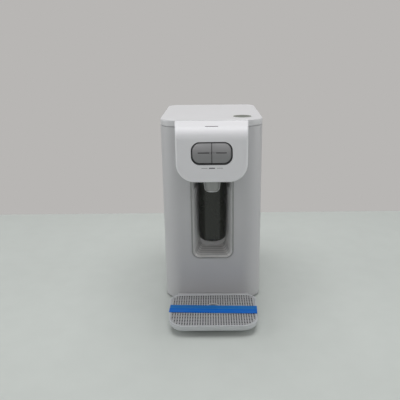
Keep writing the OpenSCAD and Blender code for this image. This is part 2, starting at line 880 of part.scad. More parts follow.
module nose_shell() color(white) in_place() difference() {
    union() {
        difference() {
            nose_skin();
            nose_room();
            linear_extrude(body_h + past) casing_plan(-slip);
        }
        for (s = [-1, 1], z = nose_boss_z) {
            translate([s * nose_boss_x, -nose_boss_len, z])
                along_y() cylinder(d = nose_boss_d, h = nose_boss_len);
            translate([s * (nose_boss_x + nose_rib_w / 2), -nose_boss_len / 2, z])
                cube([nose_rib_w, nose_boss_len, wall], center = true);
        }
    }
    translate([0, 0, panel_z])
        upright(face_y - past, face_y + wall + past) rounded(panel_w, panel_h, panel_r);
    translate([-chin_open_w / 2, -chin_open_y, chin_z - past])
        cube([chin_open_w, chin_open_y + past, wall + 2 * past]);
    translate([-lens_w / 2, -lens_y - lens_d / 2, lens_seat_z - past])
        cube([lens_w, lens_d, nose_top - lens_seat_z + 2 * past]);
    for (s = [-1, 1], z = nose_boss_z)
        translate([s * nose_boss_x, -nose_boss_len + nose_boss_end, z])
            along_y() cylinder(d = screw_d + 2 * slip, h = nose_boss_len);
}

// Plate that closes the nose from below and carries the spout
module chin_plate() color(white) in_place() difference() {
    union() {
        translate([-chin_open_w / 2 + fit, -chin_open_y + fit, chin_z])
            cube([chin_open_w - 2 * fit, chin_open_y - 2 * fit, wall]);
        translate([-chin_open_w / 2 - chin_flange, -chin_open_y - chin_flange / 2, chin_z + wall])
            cube([chin_open_w + 2 * chin_flange, chin_open_y - fit - head_r + filter_in, wall]);
    }
    translate([0, -spout_out, chin_z - past])
        cylinder(d = spout_stem_d + 2 * slip, h = 2 * wall + 2 * past);
}

// Lens of the status light where the nose's top starts to bend
module status_lens() color("slategray") in_place() {
    translate([-lens_w / 2 + slip, -lens_y - lens_d / 2 + slip, lens_seat_z - slice])
        cube([lens_w - 2 * slip, lens_d - 2 * slip, lens_top - lens_seat_z + slice]);
    translate([-lens_w / 2 - lens_flange, -lens_y - lens_d / 2 - lens_flange, lens_seat_z - wall])
        cube([lens_w + 2 * lens_flange, lens_d + 2 * lens_flange, wall]);
}

// Buttons and what carries them

// Opening left inside the bezel, drawn in by inset
module bezel_opening(inset) {
    low = bezel_foot + inset;
    side = bezel_side + inset;
    translate([0, (low - side) / 2]) rounded(panel_w - 2 * side, panel_h - low - side, panel_r - side);
}

module button_bezel() color("black") in_place() translate([0, 0, panel_z]) difference() {
    union() {
        upright(face_y + bezel_sink, face_y + wall)
            rounded(panel_w - 2 * slip, panel_h - 2 * slip, panel_r - slip);
        upright(face_y + wall, bezel_back_y)
            rounded(panel_w + 2 * bezel_flange, panel_h + 2 * bezel_flange, panel_r + bezel_flange);
    }
    upright(face_y - past, bezel_back_y + past) bezel_opening(0);
}

// Both button caps as one pillow with round edges
module button_pillow() translate([0, 0, panel_z]) hull() for (a = [0 : button_edge_step : 90])
    upright(face_y - button_proud + button_edge_r * (1 - sin(a)), button_back_y)
        bezel_opening(button_gap + button_edge_r * (1 - cos(a)), $fn = loft_fn);

// One button: side is -1 on the left and 1 on the right
module button(side) in_place() {
    intersection() {
        union() {
            button_pillow();
            translate([0, 0, panel_z]) upright(lip_front_y, button_back_y) bezel_opening(-button_lip);
        }
        translate([0, face_y - button_proud + button_crown_r, panel_z + (bezel_foot - bezel_side) / 2])
            rotate([0, 90, 0])
            cylinder(r = button_crown_r, h = 2 * panel_w, center = true, $fn = 180);
        translate([side * (button_split / 2 + panel_w / 2), 0, panel_z])
            cube([panel_w, 4 * nose_reach, 2 * panel_h], center = true);
    }
    translate([side * button_x, button_back_y - slice, panel_z])
        along_y() cylinder(d = stem_d, h = stem_end_y - button_back_y);
}

module left_button() color("darkgray") button(-1);
module right_button() color("darkgray") button(1);

// Coil of round wire along +Y from the origin, as one closed tube
module coil_spring(mean_d, wire, length, turns) {
    per_turn = 10;
    sides = 6;
    rings = per_turn * turns;
    rise = length - wire - 2 * seat_gap;
    points = [for (i = [0 : rings]) for (k = [0 : sides - 1]) let (
        turn = 360 * i / per_turn,
        round_wire = 360 * k / sides,
        r = mean_d / 2 + wire / 2 * cos(round_wire),
        y = seat_gap + wire / 2 + rise * i / rings + wire / 2 * sin(round_wire)
    ) [r * cos(turn), y, r * sin(turn)]];
    skin = [for (i = [0 : rings - 1]) for (k = [0 : sides - 1]) let (
        a = i * sides + k,
        b = i * sides + (k + 1) % sides
    ) each [[a, b, b + sides], [a, b + sides, a + sides]]];
    last = rings * sides;
    ends = [for (k = [1 : sides - 2]) each [[0, k + 1, k], [last, last + k, last + k + 1]]];
    polyhedron(points, concat(skin, ends), convexity = 6);
}

module button_spring(side) color("silver") in_place()
    translate([side * button_x, button_back_y, panel_z])
        coil_spring(spring_d, spring_wire, spring_len, spring_turns);

module left_button_spring() button_spring(-1);
module right_button_spring() button_spring(1);

// Frame that guides the stems and carries the control board
module button_carrier() color("dimgray") in_place() translate([0, 0, panel_z]) difference() {
    union() {
        upright(carrier_y, carrier_y + carrier_t) rounded(carrier_w, carrier_h, carrier_r);
        for (sx = [-1, 1], sz = [-1, 1]) {
            translate([sx * post_x, face_y + wall, sz * post_z])
                along_y() cylinder(d = post_d, h = carrier_y - face_y - wall + slice);
            translate([sx * standoff_x, carrier_y + carrier_t - slice, sz * standoff_z])
                along_y() cylinder(d = standoff_d, h = board_y - carrier_y - carrier_t + slice);
        }
    }
    for (s = [-1, 1])
        translate([s * button_x, carrier_y - past, 0])
            along_y() cylinder(d = stem_d + 2 * slip, h = carrier_t + 2 * past);
}

module control_board() color("darkgreen") in_place() translate([0, 0, panel_z])
    upright(board_y, board_y + board_t) rounded(board_w, board_h, board_r);

module tact_switches() color("dimgray") in_place() for (s = [-1, 1])
    translate([s * button_x, switch_y, panel_z]) {
        translate([-switch_w / 2, switch_cap, -switch_w / 2])
            cube([switch_w, switch_t - switch_cap, switch_w]);
        along_y() cylinder(d = switch_cap_d, h = switch_t);
    }

// Spout with its gasket and nut

module spout() color(pale) in_place() translate([0, -spout_out, 0]) difference() {
    tip_z = chin_z - spout_len;
    cup_z = tip_z + nozzle_h;
    rotate_extrude() polygon([
        [0, tip_z],
        [spout_nozzle_d / 2 - nozzle_edge, tip_z],
        [spout_nozzle_d / 2, tip_z + nozzle_edge],
        [spout_nozzle_d / 2, cup_z],
        [spout_tip_d / 2 - nozzle_edge / 2, cup_z],
        [spout_tip_d / 2, cup_z + nozzle_edge / 2],
        [spout_d / 2, chin_z - fit],
        [spout_stem_d / 2, chin_z - fit],
        [spout_stem_d / 2, spout_stem_z],
        [0, spout_stem_z]
    ]);
    translate([0, 0, tip_z - past])
        cylinder(d = spout_bore, h = spout_stem_z - socket_depth - tip_z + 2 * past);
    translate([0, 0, spout_stem_z - socket_depth]) cylinder(d = socket_d, h = socket_depth + past);
    translate([0, 0, tip_z - past])
        cylinder(d = spout_nozzle_d - 2 * nozzle_wall, h = past + nozzle_cup);
}

module spout_gasket() color("dimgray") in_place() translate([0, -spout_out, chin_top]) difference() {
    cylinder(d = spout_nut_d, h = gasket_t);
    translate([0, 0, -past]) cylinder(d = spout_stem_d + 2 * slip, h = gasket_t + 2 * past);
}

module spout_nut() color(pale) in_place() translate([0, -spout_out, chin_top + gasket_t]) difference() {
    cylinder(d = spout_nut_d, h = spout_nut_h, $fn = 6);
    translate([0, 0, -past]) cylinder(d = spout_stem_d + 2 * slip, h = spout_nut_h + 2 * past);
}

// Filter head, turning ring and cartridge

module filter_head() color(pale) in_place() translate([0, filter_in, 0]) difference() {
    union() {
        translate([0, 0, head_floor_z]) cylinder(r = head_r, h = head_top - head_floor_z);
        for (s = [-1, 1])
            translate([s * port_x, 0, head_top - past]) cylinder(d = port_d, h = port_top - head_top + past);
        for (a = manifold_screw_angles) {
            translate([manifold_screw_r * cos(a), manifold_screw_r * sin(a), head_floor_z])
                cylinder(d = boss_d, h = manifold_flange_t);
            rotate(a) translate([ring_out_r, -manifold_web / 2, head_floor_z])
                cube([manifold_screw_r - ring_out_r, manifold_web, manifold_flange_t]);
        }
    }
    translate([0, 0, head_floor_z - past])
        cylinder(r = ring_out_r + fit, h = ring_room_top - head_floor_z + past);
    translate([0, 0, ring_room_top - past])
        cylinder(d = neck_d + 2 * neck_gap, h = neck_top + neck_room - ring_room_top + past);
    for (s = [-1, 1]) {
        translate([s * port_x, 0, port_top - socket_depth]) cylinder(d = socket_d, h = socket_depth + past);
        translate([s * port_x, 0, neck_top - drill_d]) cylinder(d = drill_d, h = port_top - neck_top);
        translate([s * port_x, 0, neck_top - cross_drill_in]) rotate([0, -s * 90, 0])
            cylinder(d = cross_drill_d, h = port_x - neck_d / 4);
    }
    for (a = manifold_screw_angles)
        translate([manifold_screw_r * cos(a), manifold_screw_r * sin(a), head_floor_z - past])
            cylinder(d = screw_d + 2 * slip, h = manifold_flange_t + 2 * past);
}

// Ring that turns with the cartridge: its slots take the lugs
module bayonet_ring() color("silver") in_place() translate([0, filter_in, ring_z]) difference() {
    cylinder(r = ring_out_r, h = ring_h);
    translate([0, 0, -past]) cylinder(r = ring_in_r, h = ring_h + 2 * past);
    for (i = [0 : lug_count - 1]) rotate(90 + 360 / lug_count * i) translate([0, -lug_w / 2 - lug_gap, -past])
        intersection() {
            cube([lug_r + lug_gap, lug_w + 2 * lug_gap, lug_z + lug_h + lug_gap - ring_z + past]);
            translate([0, lug_w / 2 + lug_gap, -past]) cylinder(r = lug_r + lug_gap, h = 2 * ring_h);
        }
}

// Outline of the cartridge's half section, drawn in by inset, up to its cap
module cartridge_half(inset) {
    foot = filter_foot_d / 2 - inset;
    top = filter_d / 2 - inset;
    r = filter_foot_r - inset;
    low = filter_foot_z + inset;
    polygon([
        [0, low],
        for (a = [0 : 10 : 90]) [foot - r + r * sin(a), low + r - r * cos(a)],
        [top, cap_z],
        [0, cap_z]
    ]);
}

module filter_shell() color("darkslategray") in_place() translate([0, filter_in, 0]) difference() {
    rotate_extrude() cartridge_half(0);
    rotate_extrude() intersection() {
        cartridge_half(filter_wall);
        square([filter_d, cap_z - slip]);
    }
    translate([0, 0, cap_z - past]) cylinder(r = filter_d / 2 - filter_wall, h = 2 * past);
}

module filter_cap() color("dimgray") in_place() translate([0, filter_in, 0]) difference() {
    union() {
        translate([0, 0, cap_z]) cylinder(d = filter_d, h = cap_top - cap_z);
        translate([0, 0, cap_top - past]) cylinder(d = neck_d, h = neck_top - cap_top + past);
        for (i = [0 : lug_count - 1]) rotate(90 + 360 / lug_count * i) intersection() {
            translate([0, -lug_w / 2, lug_z]) cube([lug_r, lug_w, lug_h]);
            translate([0, 0, lug_z]) cylinder(r = lug_r, h = lug_h);
        }
    }
    for (z = o_ring_z) translate([0, 0, z]) difference() {
        cylinder(d = neck_d + past, h = 2 * o_ring_r + 2 * slip, center = true);
        cylinder(r = o_ring_mid - o_ring_r - o_ring_gap, h = 3 * o_ring_r, center = true);
    }
    translate([0, 0, cap_z - past]) cylinder(d = carbon_core, h = neck_top - cap_z + 2 * past);
}

module filter_o_rings() color("black") in_place() for (z = o_ring_z)
    translate([0, filter_in, z]) rotate_extrude()
        translate([o_ring_mid, 0]) circle(o_ring_r, $fn = 32);

module carbon_block() color("black") in_place()
    translate([0, filter_in, filter_foot_z + filter_foot_r]) difference() {
        cylinder(
            d = filter_foot_d - 2 * filter_wall - 2 * carbon_gap,
            h = cap_z - filter_foot_z - filter_foot_r
        );
        translate([0, 0, filter_wall]) cylinder(d = carbon_core, h = cap_z);
    }

// Tank, tubes, valve and pump

module tank_plan(grow) translate([tank_x + tank_w / 2, tank_y + tank_d / 2])
    rounded(tank_w + 2 * grow, tank_d + 2 * grow, tank_r + grow);

module water_tank() color("white", 0.7) in_place() difference() {
    union() {
        translate([0, 0, tank_z]) linear_extrude(tank_h) tank_plan(-tank_flange);
        translate([0, 0, tank_top - tank_flange_t]) linear_extrude(tank_flange_t) tank_plan(0);
        translate([0, 0, tank_z]) linear_extrude(tank_flange_t) tank_plan(0);
        translate([tank_out_x, tank_out_y, tank_z - tank_port_len])
            cylinder(d = port_d, h = tank_port_len + past);
    }
    translate([0, 0, tank_z + tank_wall]) linear_extrude(tank_h) tank_plan(-tank_flange - tank_wall);
    translate([tank_out_x, tank_out_y, tank_z - tank_port_len - past])
        cylinder(d = socket_d, h = socket_depth + past);
    translate([tank_out_x, tank_out_y, tank_z - tank_port_len])
        cylinder(d = drill_d, h = tank_port_len + 2 * tank_wall);
}

module tank_gasket() color("dimgray") in_place() translate([0, 0, tank_top])
    linear_extrude(tank_gasket_t) difference() {
        tank_plan(-tank_gasket_in);
        tank_plan(-tank_flange - tank_wall);
    }

module tank_cover() color(pale) in_place() difference() {
    union() {
        translate([0, 0, tank_top + tank_gasket_t]) linear_extrude(tank_cover_t) tank_plan(0);
        translate([port_x, tank_in_y, cover_top - past]) cylinder(d = port_d, h = tank_port_len + past);
    }
    translate([port_x, tank_in_y, cover_top + tank_port_len - socket_depth])
        cylinder(d = socket_d, h = socket_depth + past);
    translate([port_x, tank_in_y, tank_top]) cylinder(d = drill_d, h = cover_drill);
    for (i = [0, 1])
        translate([probe_x + i * probe_step, tank_in_y, tank_top])
            cylinder(d = probe_d + 2 * slip, h = cover_drill);
}

module level_probes() color("silver") in_place() for (i = [0, 1])
    translate([probe_x + i * probe_step, tank_in_y, 0]) {
        low = tank_z + tank_wall + probe_foot + i * tank_h / 2;
        translate([0, 0, low]) cylinder(d = probe_d, h = cover_top - low);
        translate([0, 0, cover_top]) cylinder(d = 2 * probe_d, h = 2 * probe_d);
    }

module inlet_valve() color(pale) in_place() translate([inlet_x, valve_y, port_z]) difference() {
    union() {
        cube([valve_w, valve_l, valve_h], center = true);
        translate([0, -valve_l / 2 - valve_port, 0])
            along_y() cylinder(d = port_d, h = valve_l + 2 * valve_port);
    }
    for (s = [-1, 1]) translate([0, s * (valve_l / 2 + valve_port - socket_depth / 2 + past / 2), 0])
        along_y() cylinder(d = socket_d, h = socket_depth + past, center = true);
    along_y() cylinder(d = drill_d, h = valve_l + 2 * valve_port, center = true);
}

module valve_coil() color("black") in_place() translate([inlet_x, valve_y, port_z + valve_h / 2])
    cylinder(d = coil_d, h = coil_h);

module inlet_fitting() color(pale) in_place() translate([inlet_x, pocket_y, port_z]) difference() {
    union() {
        translate([0, -wall - inlet_in, 0])
            along_y() cylinder(d = inlet_d, h = wall + inlet_in + inlet_out);
        along_y() cylinder(d = inlet_flange_d, h = inlet_flange_t);
    }
    translate([0, inlet_out - inlet_bore_len, 0])
        along_y() cylinder(d = inlet_bore, h = inlet_bore_len + past);
    translate([0, -wall - inlet_in - past, 0]) along_y() cylinder(d = socket_d, h = socket_depth + past);
    translate([0, -wall - inlet_in, 0])
        along_y() cylinder(d = drill_d, h = wall + inlet_in + inlet_out - past);
}

module inlet_nut() color(pale) in_place()
    translate([inlet_x, pocket_y - wall - inlet_nut_t, port_z]) difference() {
        along_y() cylinder(d = inlet_nut_d, h = inlet_nut_t, $fn = 6);
        translate([0, -past, 0]) along_y() cylinder(d = inlet_d + 2 * slip, h = inlet_nut_t + 2 * past);
    }

// Short tube between the inlet and the valve
module inlet_tube() color("white") in_place() {
    from = valve_y + valve_l / 2 + valve_port - socket_depth + fit;
    to = pocket_y - wall - inlet_in + socket_depth - fit;
    translate([inlet_x, from, port_z]) along_y() linear_extrude(to - from) tube_section(tube_d, tube_bore);
}

module supply_tube() color("white") in_place() tube_run([
    [inlet_x, valve_y - valve_l / 2 - valve_port + socket_depth - fit, port_z],
    [inlet_x, riser_y, port_z],
    [inlet_x, riser_y, over_z],
    [inlet_x, filter_in, over_z],
    [inlet_x, filter_in, port_top - socket_depth + fit]
], tube_d, tube_bore, bend_r);

module filtered_tube() color("white") in_place() tube_run([
    [port_x, filter_in, port_top - socket_depth + fit],
    [port_x, filter_in, over_z],
    [port_x, tank_in_y, over_z],
    [port_x, tank_in_y, cover_top + tank_port_len - socket_depth + fit]
], tube_d, tube_bore, bend_r);

module suction_tube() color("white") in_place() tube_run([
    [tank_out_x, tank_out_y, tank_z - tank_port_len + socket_depth - fit],
    [tank_out_x, tank_out_y, pump_port_z],
    [pump_x - pump_r - pump_port_len + socket_depth - fit, tank_out_y, pump_port_z]
], tube_d, tube_bore, bend_r);

module outlet_tube() color("white") in_place() tube_run([
    [pump_x, outlet_y, pump_z + pump_h + pump_riser - socket_depth + fit],
    [pump_x, outlet_y, outlet_z],
    [outlet_x, outlet_y, outlet_z],
    [outlet_x, outlet_turn_y, outlet_z],
    [0, outlet_turn_y, outlet_z],
    [0, -spout_out, outlet_z],
    [0, -spout_out, spout_stem_z - socket_depth + fit]
], tube_d, tube_bore, outlet_bend_r);

module dispense_pump() color("dimgray") in_place() difference() {
    union() {
        translate([pump_x, pump_y, pump_z]) cylinder(r = pump_r, h = pump_h);
        translate([pump_x, outlet_y, pump_z]) cylinder(d = port_d, h = pump_h + pump_riser);
        translate([pump_x - port_d / 2, outlet_y, pump_z]) cube([port_d, pump_r, pump_h]);
        translate([pump_x - pump_r - pump_port_len, tank_out_y, pump_port_z])
            rotate([0, 90, 0]) cylinder(d = port_d, h = pump_port_len + pump_port_root);
    }
    translate([pump_x, outlet_y, pump_z + pump_h + pump_riser - socket_depth])
        cylinder(d = socket_d, h = socket_depth + past);
    translate([pump_x - pump_r - pump_port_len - past, tank_out_y, pump_port_z])
        rotate([0, 90, 0]) cylinder(d = socket_d, h = socket_depth + past);
}

module pump_motor() color("silver") in_place()
    translate([pump_x, pump_y, pump_z + pump_h]) cylinder(r = motor_r, h = motor_h);

// Electrics

module power_board() color("darkgreen") in_place() translate([power_x - power_t, power_y, power_z])
    cube([power_t, power_d, power_h]);

module power_parts() color("goldenrod") in_place() translate([power_x - power_t, power_y, power_z]) {
    translate([-transformer.x, transformer_at[0], transformer_at[1]]) cube(transformer);
    translate([0, can_at[0], can_at[1]]) rotate([0, -90, 0]) cylinder(d = can_d, h = can_len);
    for (at = [mains_plug_at, signal_plug_at]) translate([-plug.x, at[0], at[1]]) cube(plug);
}

module cable_gland() color("dimgray") in_place() translate([gland_x, pocket_y, port_z]) difference() {
    length = gland_in + wall + gland_out;
    union() {
        translate([0, -wall - gland_in, 0]) along_y() cylinder(d = gland_d, h = length);
        along_y() cylinder(d = gland_flange_d, h = gland_flange_t);
        translate([0, -wall - gland_nut_t, 0]) along_y() cylinder(d = gland_flange_d, h = gland_nut_t);
    }
    translate([0, -wall - gland_in - past, 0]) along_y() cylinder(d = gland_bore, h = length + 2 * past);
}

module mains_wires() color("black") in_place() tube_run([
    [gland_x, pocket_y - wall - wire_in, port_z],
    [gland_x, mains_y, port_z],
    [wire_x, mains_y, port_z],
    [wire_x, mains_y, power_z + transformer_at[1] - fit]
], wire_d, 0, wire_bend);

module signal_wires() color("black") in_place() tube_run([
    [wire_x, signal_y, power_z + signal_plug_at[1] + plug.z],
    [wire_x, signal_y, signal_z],
    [wire_x, signal_turn_y, signal_z],
    [outlet_x, signal_turn_y, signal_z],
    [outlet_x, outlet_turn_y, signal_z],
    [board_w / 4, outlet_turn_y, signal_z],
    [board_w / 4, board_y + board_t, signal_z]
], wire_d, 0, wire_bend);

// Drip tray and grille

// Plan of the tray, drawn in by inset: four round corners and the lines that touch them
module tray_plan(inset) {
    front_r = tray_front_r - inset;
    back_r = tray_back_r - inset;
    right = [
        tray_front_mid - [0, front_r],
        tray_front_mid + (front_r - slice) * tray_side,
        tray_back_mid + (back_r - slice) * tray_side,
        tray_back_mid + [0, back_r]
    ];
    polygon(concat(right, [for (i = [3 : -1 : 0]) [-right[i].x, right[i].y]]));
    for (s = [-1, 1]) {
        translate([s * tray_front_mid.x, tray_front_mid.y]) circle(front_r);
        translate([s * tray_back_mid.x, tray_back_mid.y]) circle(back_r);
    }
}

// Full form of the tray: an upright band over a foot that draws in
module tray_bowl() hull() for (a = [0 : 15 : 90]) {
    low = tray_bend_z - (tray_bend_z - tray_base_z) * sin(a);
    translate([0, 0, low])
        linear_extrude(tray_rim_z - low) tray_plan(tray_draft * (1 - cos(a)), $fn = lid_fn);
}

module drip_tray() color(white) in_place() {
    difference() {
        tray_bowl();
        translate([0, 0, grille_seat_z]) linear_extrude(tray_rim_z) tray_plan(tray_rim_w);
        translate([0, 0, tray_base_z + tray_floor_t])
            linear_extrude(tray_rim_z) tray_plan(tray_rim_w + grille_ledge);
    }
    for (s = [-1, 1])
        translate([s * prong_x - prong_w / 2, -tray_back - prong_root, prong_z])
            cube([prong_w, prong_root + prong_len, prong_h]);
}

// Front end of the slotted field at x: the round corner, or the tapered side beyond it
function slots_from(x) = let (
    r = tray_front_r - field_in,
    dx = max(0, abs(x) - tray_front_mid.x),
    share = (abs(x) - field_front.x) / (field_back.x - field_front.x)
) dx < r ? tray_front_mid.y - sqrt(r * r - dx * dx) : field_front.y + share * (field_back.y - field_front.y);

// Back end of the slotted field at x
function slots_to(x) = let (
    r = tray_back_r - field_in,
    dx = max(0, abs(x) - tray_back_mid.x)
) tray_back_mid.y + sqrt(max(0, r * r - dx * dx));

// Slots in rows and columns, cut off by the field's outline
module grille_slots() {
    count = floor((field_back.x - slot_w / 2) / slot_pitch);
    for (i = [-count : count], k = [0 : slot_rows - 1]) {
        x = i * slot_pitch;
        row = -tray_reach + field_in + k * row_pitch;
        y0 = max(row, slots_from(x));
        y1 = min(row + row_pitch - bar_w, slots_to(x));
        if (y1 - y0 > slot_w) translate([x - slot_w / 2, y0]) square([slot_w, y1 - y0]);
    }
}

module drip_grille() color("darkgray") in_place() translate([0, 0, grille_seat_z + seat_gap]) difference() {
    union() {
        linear_extrude(grille_t) difference() {
            tray_plan(grille_in);
            difference() {
                grille_slots();
                translate([0, -ring_y]) circle(d = ring_d);
            }
        }
        translate([0, -ring_y, 0]) cylinder(d = ring_d, h = grille_t + ring_rise);
        for (k = rib_rows)
            translate([-rib_half, -tray_reach + field_in + k * row_pitch - (bar_w + rib_t) / 2, -rib_drop])
                cube([2 * rib_half, rib_t, rib_drop + past]);
    }
    translate([0, -ring_y, -rib_drop - past]) cylinder(d = finger_d, h = grille_t + rib_drop + 3 * past);
}

// Screws

module base_screws() color("silver") in_place() for (s = [-1, 1], y = base_screw_y)
    translate([s * side_boss_x, y, base_z + screw_head_h]) screw(base_screw_len - boss_blind);

module rear_screws() color("silver") in_place() for (s = [-1, 1])
    translate([s * rear_boss_x, body_d - rear_screw_sink, rear_boss_z])
        rotate([90, 0, 0]) screw(rear_screw_len);

module nose_screws() color("silver") in_place() for (s = [-1, 1], z = nose_boss_z)
    translate([s * nose_boss_x, wall, z]) rotate([90, 0, 0]) screw(nose_screw_len);

module manifold_screws() color("silver") in_place() for (a = manifold_screw_angles)
    translate([
        manifold_screw_r * cos(a), filter_in + manifold_screw_r * sin(a), head_floor_z + manifold_flange_t
    ]) rotate([180, 0, 0]) screw(manifold_flange_t + wall);

base_plate();
rubber_feet();
body_shell();
rear_cover();
niche_liner();
top_lid();
nose_shell();
chin_plate();
button_bezel();
button_carrier();
control_board();
tact_switches();
status_lens();
left_button();
right_button();
left_button_spring();
right_button_spring();
spout();
spout_gasket();
spout_nut();
filter_head();
bayonet_ring();
filter_shell();
filter_cap();
filter_o_rings();
carbon_block();
inlet_fitting();
inlet_nut();
inlet_tube();
inlet_valve();
valve_coil();
supply_tube();
filtered_tube();
water_tank();
tank_gasket();
tank_cover();
level_probes();
suction_tube();
dispense_pump();
pump_motor();
outlet_tube();
power_board();
power_parts();
cable_gland();
mains_wires();
signal_wires();
drip_tray();
drip_grille();
base_screws();
rear_screws();
nose_screws();
manifold_screws();
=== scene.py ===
"""Table-top water purifier: finishes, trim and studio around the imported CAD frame."""

import logging
import math
from dataclasses import dataclass, replace
from enum import Enum, IntEnum
from typing import Any, Callable

import bpy
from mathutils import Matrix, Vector

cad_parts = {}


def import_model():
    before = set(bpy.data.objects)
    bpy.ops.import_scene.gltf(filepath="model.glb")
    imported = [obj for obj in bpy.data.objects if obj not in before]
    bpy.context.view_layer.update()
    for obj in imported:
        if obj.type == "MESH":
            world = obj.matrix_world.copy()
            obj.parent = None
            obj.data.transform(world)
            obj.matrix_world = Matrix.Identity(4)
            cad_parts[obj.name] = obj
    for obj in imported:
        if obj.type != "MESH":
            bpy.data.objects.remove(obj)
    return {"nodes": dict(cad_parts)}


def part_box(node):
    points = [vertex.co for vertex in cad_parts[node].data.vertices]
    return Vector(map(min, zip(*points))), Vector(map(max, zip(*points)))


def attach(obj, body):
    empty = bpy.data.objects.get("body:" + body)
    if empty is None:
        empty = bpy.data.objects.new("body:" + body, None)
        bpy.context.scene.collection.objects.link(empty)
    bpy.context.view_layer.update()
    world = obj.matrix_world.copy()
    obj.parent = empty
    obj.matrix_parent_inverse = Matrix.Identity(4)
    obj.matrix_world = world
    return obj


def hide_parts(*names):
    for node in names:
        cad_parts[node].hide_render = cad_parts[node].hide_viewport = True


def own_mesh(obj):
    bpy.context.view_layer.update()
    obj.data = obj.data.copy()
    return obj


frame: dict[str, Any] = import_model()

LOG = logging.getLogger("water_purifier")
MM = 0.001

Colour = tuple[float, float, float]
Point = tuple[float, float, float]
FaceTest = Callable[[bpy.types.MeshPolygon], bool]

# Noise in the finishes: features per metre, octaves, and the part of its range that is used.
CLOUD_SCALE = 22.0
CLOUD_DETAIL = 2.0
PATCH_SCALE = 60.0
PATCH_DETAIL = 4.0
GRAIN_DETAIL = 3.0
SPREAD_FROM, SPREAD_TO = 0.3, 0.7
BLEND_FROM, BLEND_TO = 0.35, 0.65
EDGE_SAMPLES = 6

# Edges sharper than these angles, in degrees, stay crisp.
CRISP_MOULDED = 32.0
CRISP_EASED = 40.0
CRISP_FILM = 50.0

MERGE_REACH = 0.00001  # points closer than this, in metres, become one
DISC_SIDES = 64
EASE_STEPS = 2
SQUARE_ON = 0.9  # least share of an axis in the normal of a face that looks along it


def srgb(red: float, green: float, blue: float) -> Colour:
    """Turns display values from 0 to 255 into the linear values that shaders take.

    Args:
        red: Display red.
        green: Display green.
        blue: Display blue.

    Returns:
        Linear red, green and blue.
    """

    def linear(value: float) -> float:
        """Undoes the display curve of one channel."""
        share = value / 255
        return share / 12.92 if share <= 0.04045 else ((share + 0.055) / 1.055) ** 2.4

    return linear(red), linear(green), linear(blue)


def casing_front() -> float:
    """Place of the casing's front face, from front to back."""
    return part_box("body_shell")[0].y


class Body(Enum):
    """Moving groups of the frame that pieces ride on."""

    HOUSING = "housing"
    LEFT_BUTTON = "left_button"
    RIGHT_BUTTON = "right_button"
    TRAY = "tray"
    GRILLE = "grille"


class Grain(Enum):
    """Direction in which a finish's fine texture is stretched."""

    NONE = (1.0, 1.0, 1.0)
    ACROSS = (0.06, 1.0, 1.0)
    UPRIGHT = (1.0, 1.0, 0.06)


class NicheZone(IntEnum):
    """Zones of the niche's lining, numbered as its material slots are."""

    WALL = 0
    EDGE = 1
    FLOOR = 2
    RIB = 3


class NodeSheet:
    """Short hand for building one material's node tree."""

    def __init__(self, name: str) -> None:
        """Makes an empty material with its output node.

        Args:
            name: Name of the material.
        """
        self.material = bpy.data.materials.new(name)
        self.material.use_nodes = True
        self.tree = self.material.node_tree
        self.tree.nodes.clear()
        self.output = self.add("ShaderNodeOutputMaterial")

    def add(self, kind: str, **values: Any) -> bpy.types.Node:
        """Adds a node and sets its input sockets.

        Args:
            kind: Blender's type name of the node.
            **values: Socket values, with underscores for the spaces in their names.

        Returns:
            The new node.
        """
        node = self.tree.nodes.new(kind)
        for key, value in values.items():
            node.inputs[key.replace("_", " ")].default_value = value
        return node

    def link(self, start: bpy.types.NodeSocket, end: bpy.types.NodeSocket) -> None:
        """Joins an output socket to an input socket."""
        self.tree.links.new(start, end)

    def place(self, stretch: Point) -> bpy.types.NodeSocket:
        """Object coordinates, stretched along the axes.

        Args:
            stretch: Factor on each axis.

        Returns:
            The vector socket.
        """
        coordinates = self.add("ShaderNodeTexCoord")
        mapping = self.add("ShaderNodeMapping", Scale=stretch)
        self.link(coordinates.outputs["Object"], mapping.inputs["Vector"])
        return mapping.outputs["Vector"]

    def noise(
        self, vector: bpy.types.NodeSocket, scale: float, detail: float
    ) -> bpy.types.NodeSocket:
        """Noise between 0 and 1.

        Args:
            vector: Where the noise is read.
            scale: Features per metre.
            detail: Octaves of finer noise.

        Returns:
            The factor socket.
        """
        texture = self.add("ShaderNodeTexNoise", Scale=scale, Detail=detail)
        self.link(vector, texture.inputs["Vector"])
        return texture.outputs["Fac"]

    def spread(
        self, factor: bpy.types.NodeSocket, low: float, high: float
    ) -> bpy.types.NodeSocket:
        """Maps the middle of a noise to a range of values.

        Args:
            factor: Noise from 0 to 1.
            low: Value at the noise's low side.
            high: Value at the noise's high side.

        Returns:
            The mapped socket.
        """
        mapped = self.add(
            "ShaderNodeMapRange", From_Min=SPREAD_FROM, From_Max=SPREAD_TO, To_Min=low, To_Max=high
        )
        self.link(factor, mapped.inputs["Value"])
        return mapped.outputs["Result"]

    def blend(
        self, factor: bpy.types.NodeSocket, first: Colour, second: Colour
    ) -> bpy.types.NodeSocket:
        """Mixes two colours by the middle of a noise.

        Args:
            factor: Noise from 0 to 1.
            first: Colour at the noise's low side.
            second: Colour at the noise's high side.

        Returns:
            The colour socket.
        """
        ramp = self.add("ShaderNodeValToRGB")
        stops = ((BLEND_FROM, first), (BLEND_TO, second))
        for stop, (position, colour) in zip(ramp.color_ramp.elements, stops):
            stop.position = position
            stop.color = (*colour, 1.0)
        self.link(factor, ramp.inputs["Fac"])
        return ramp.outputs["Color"]


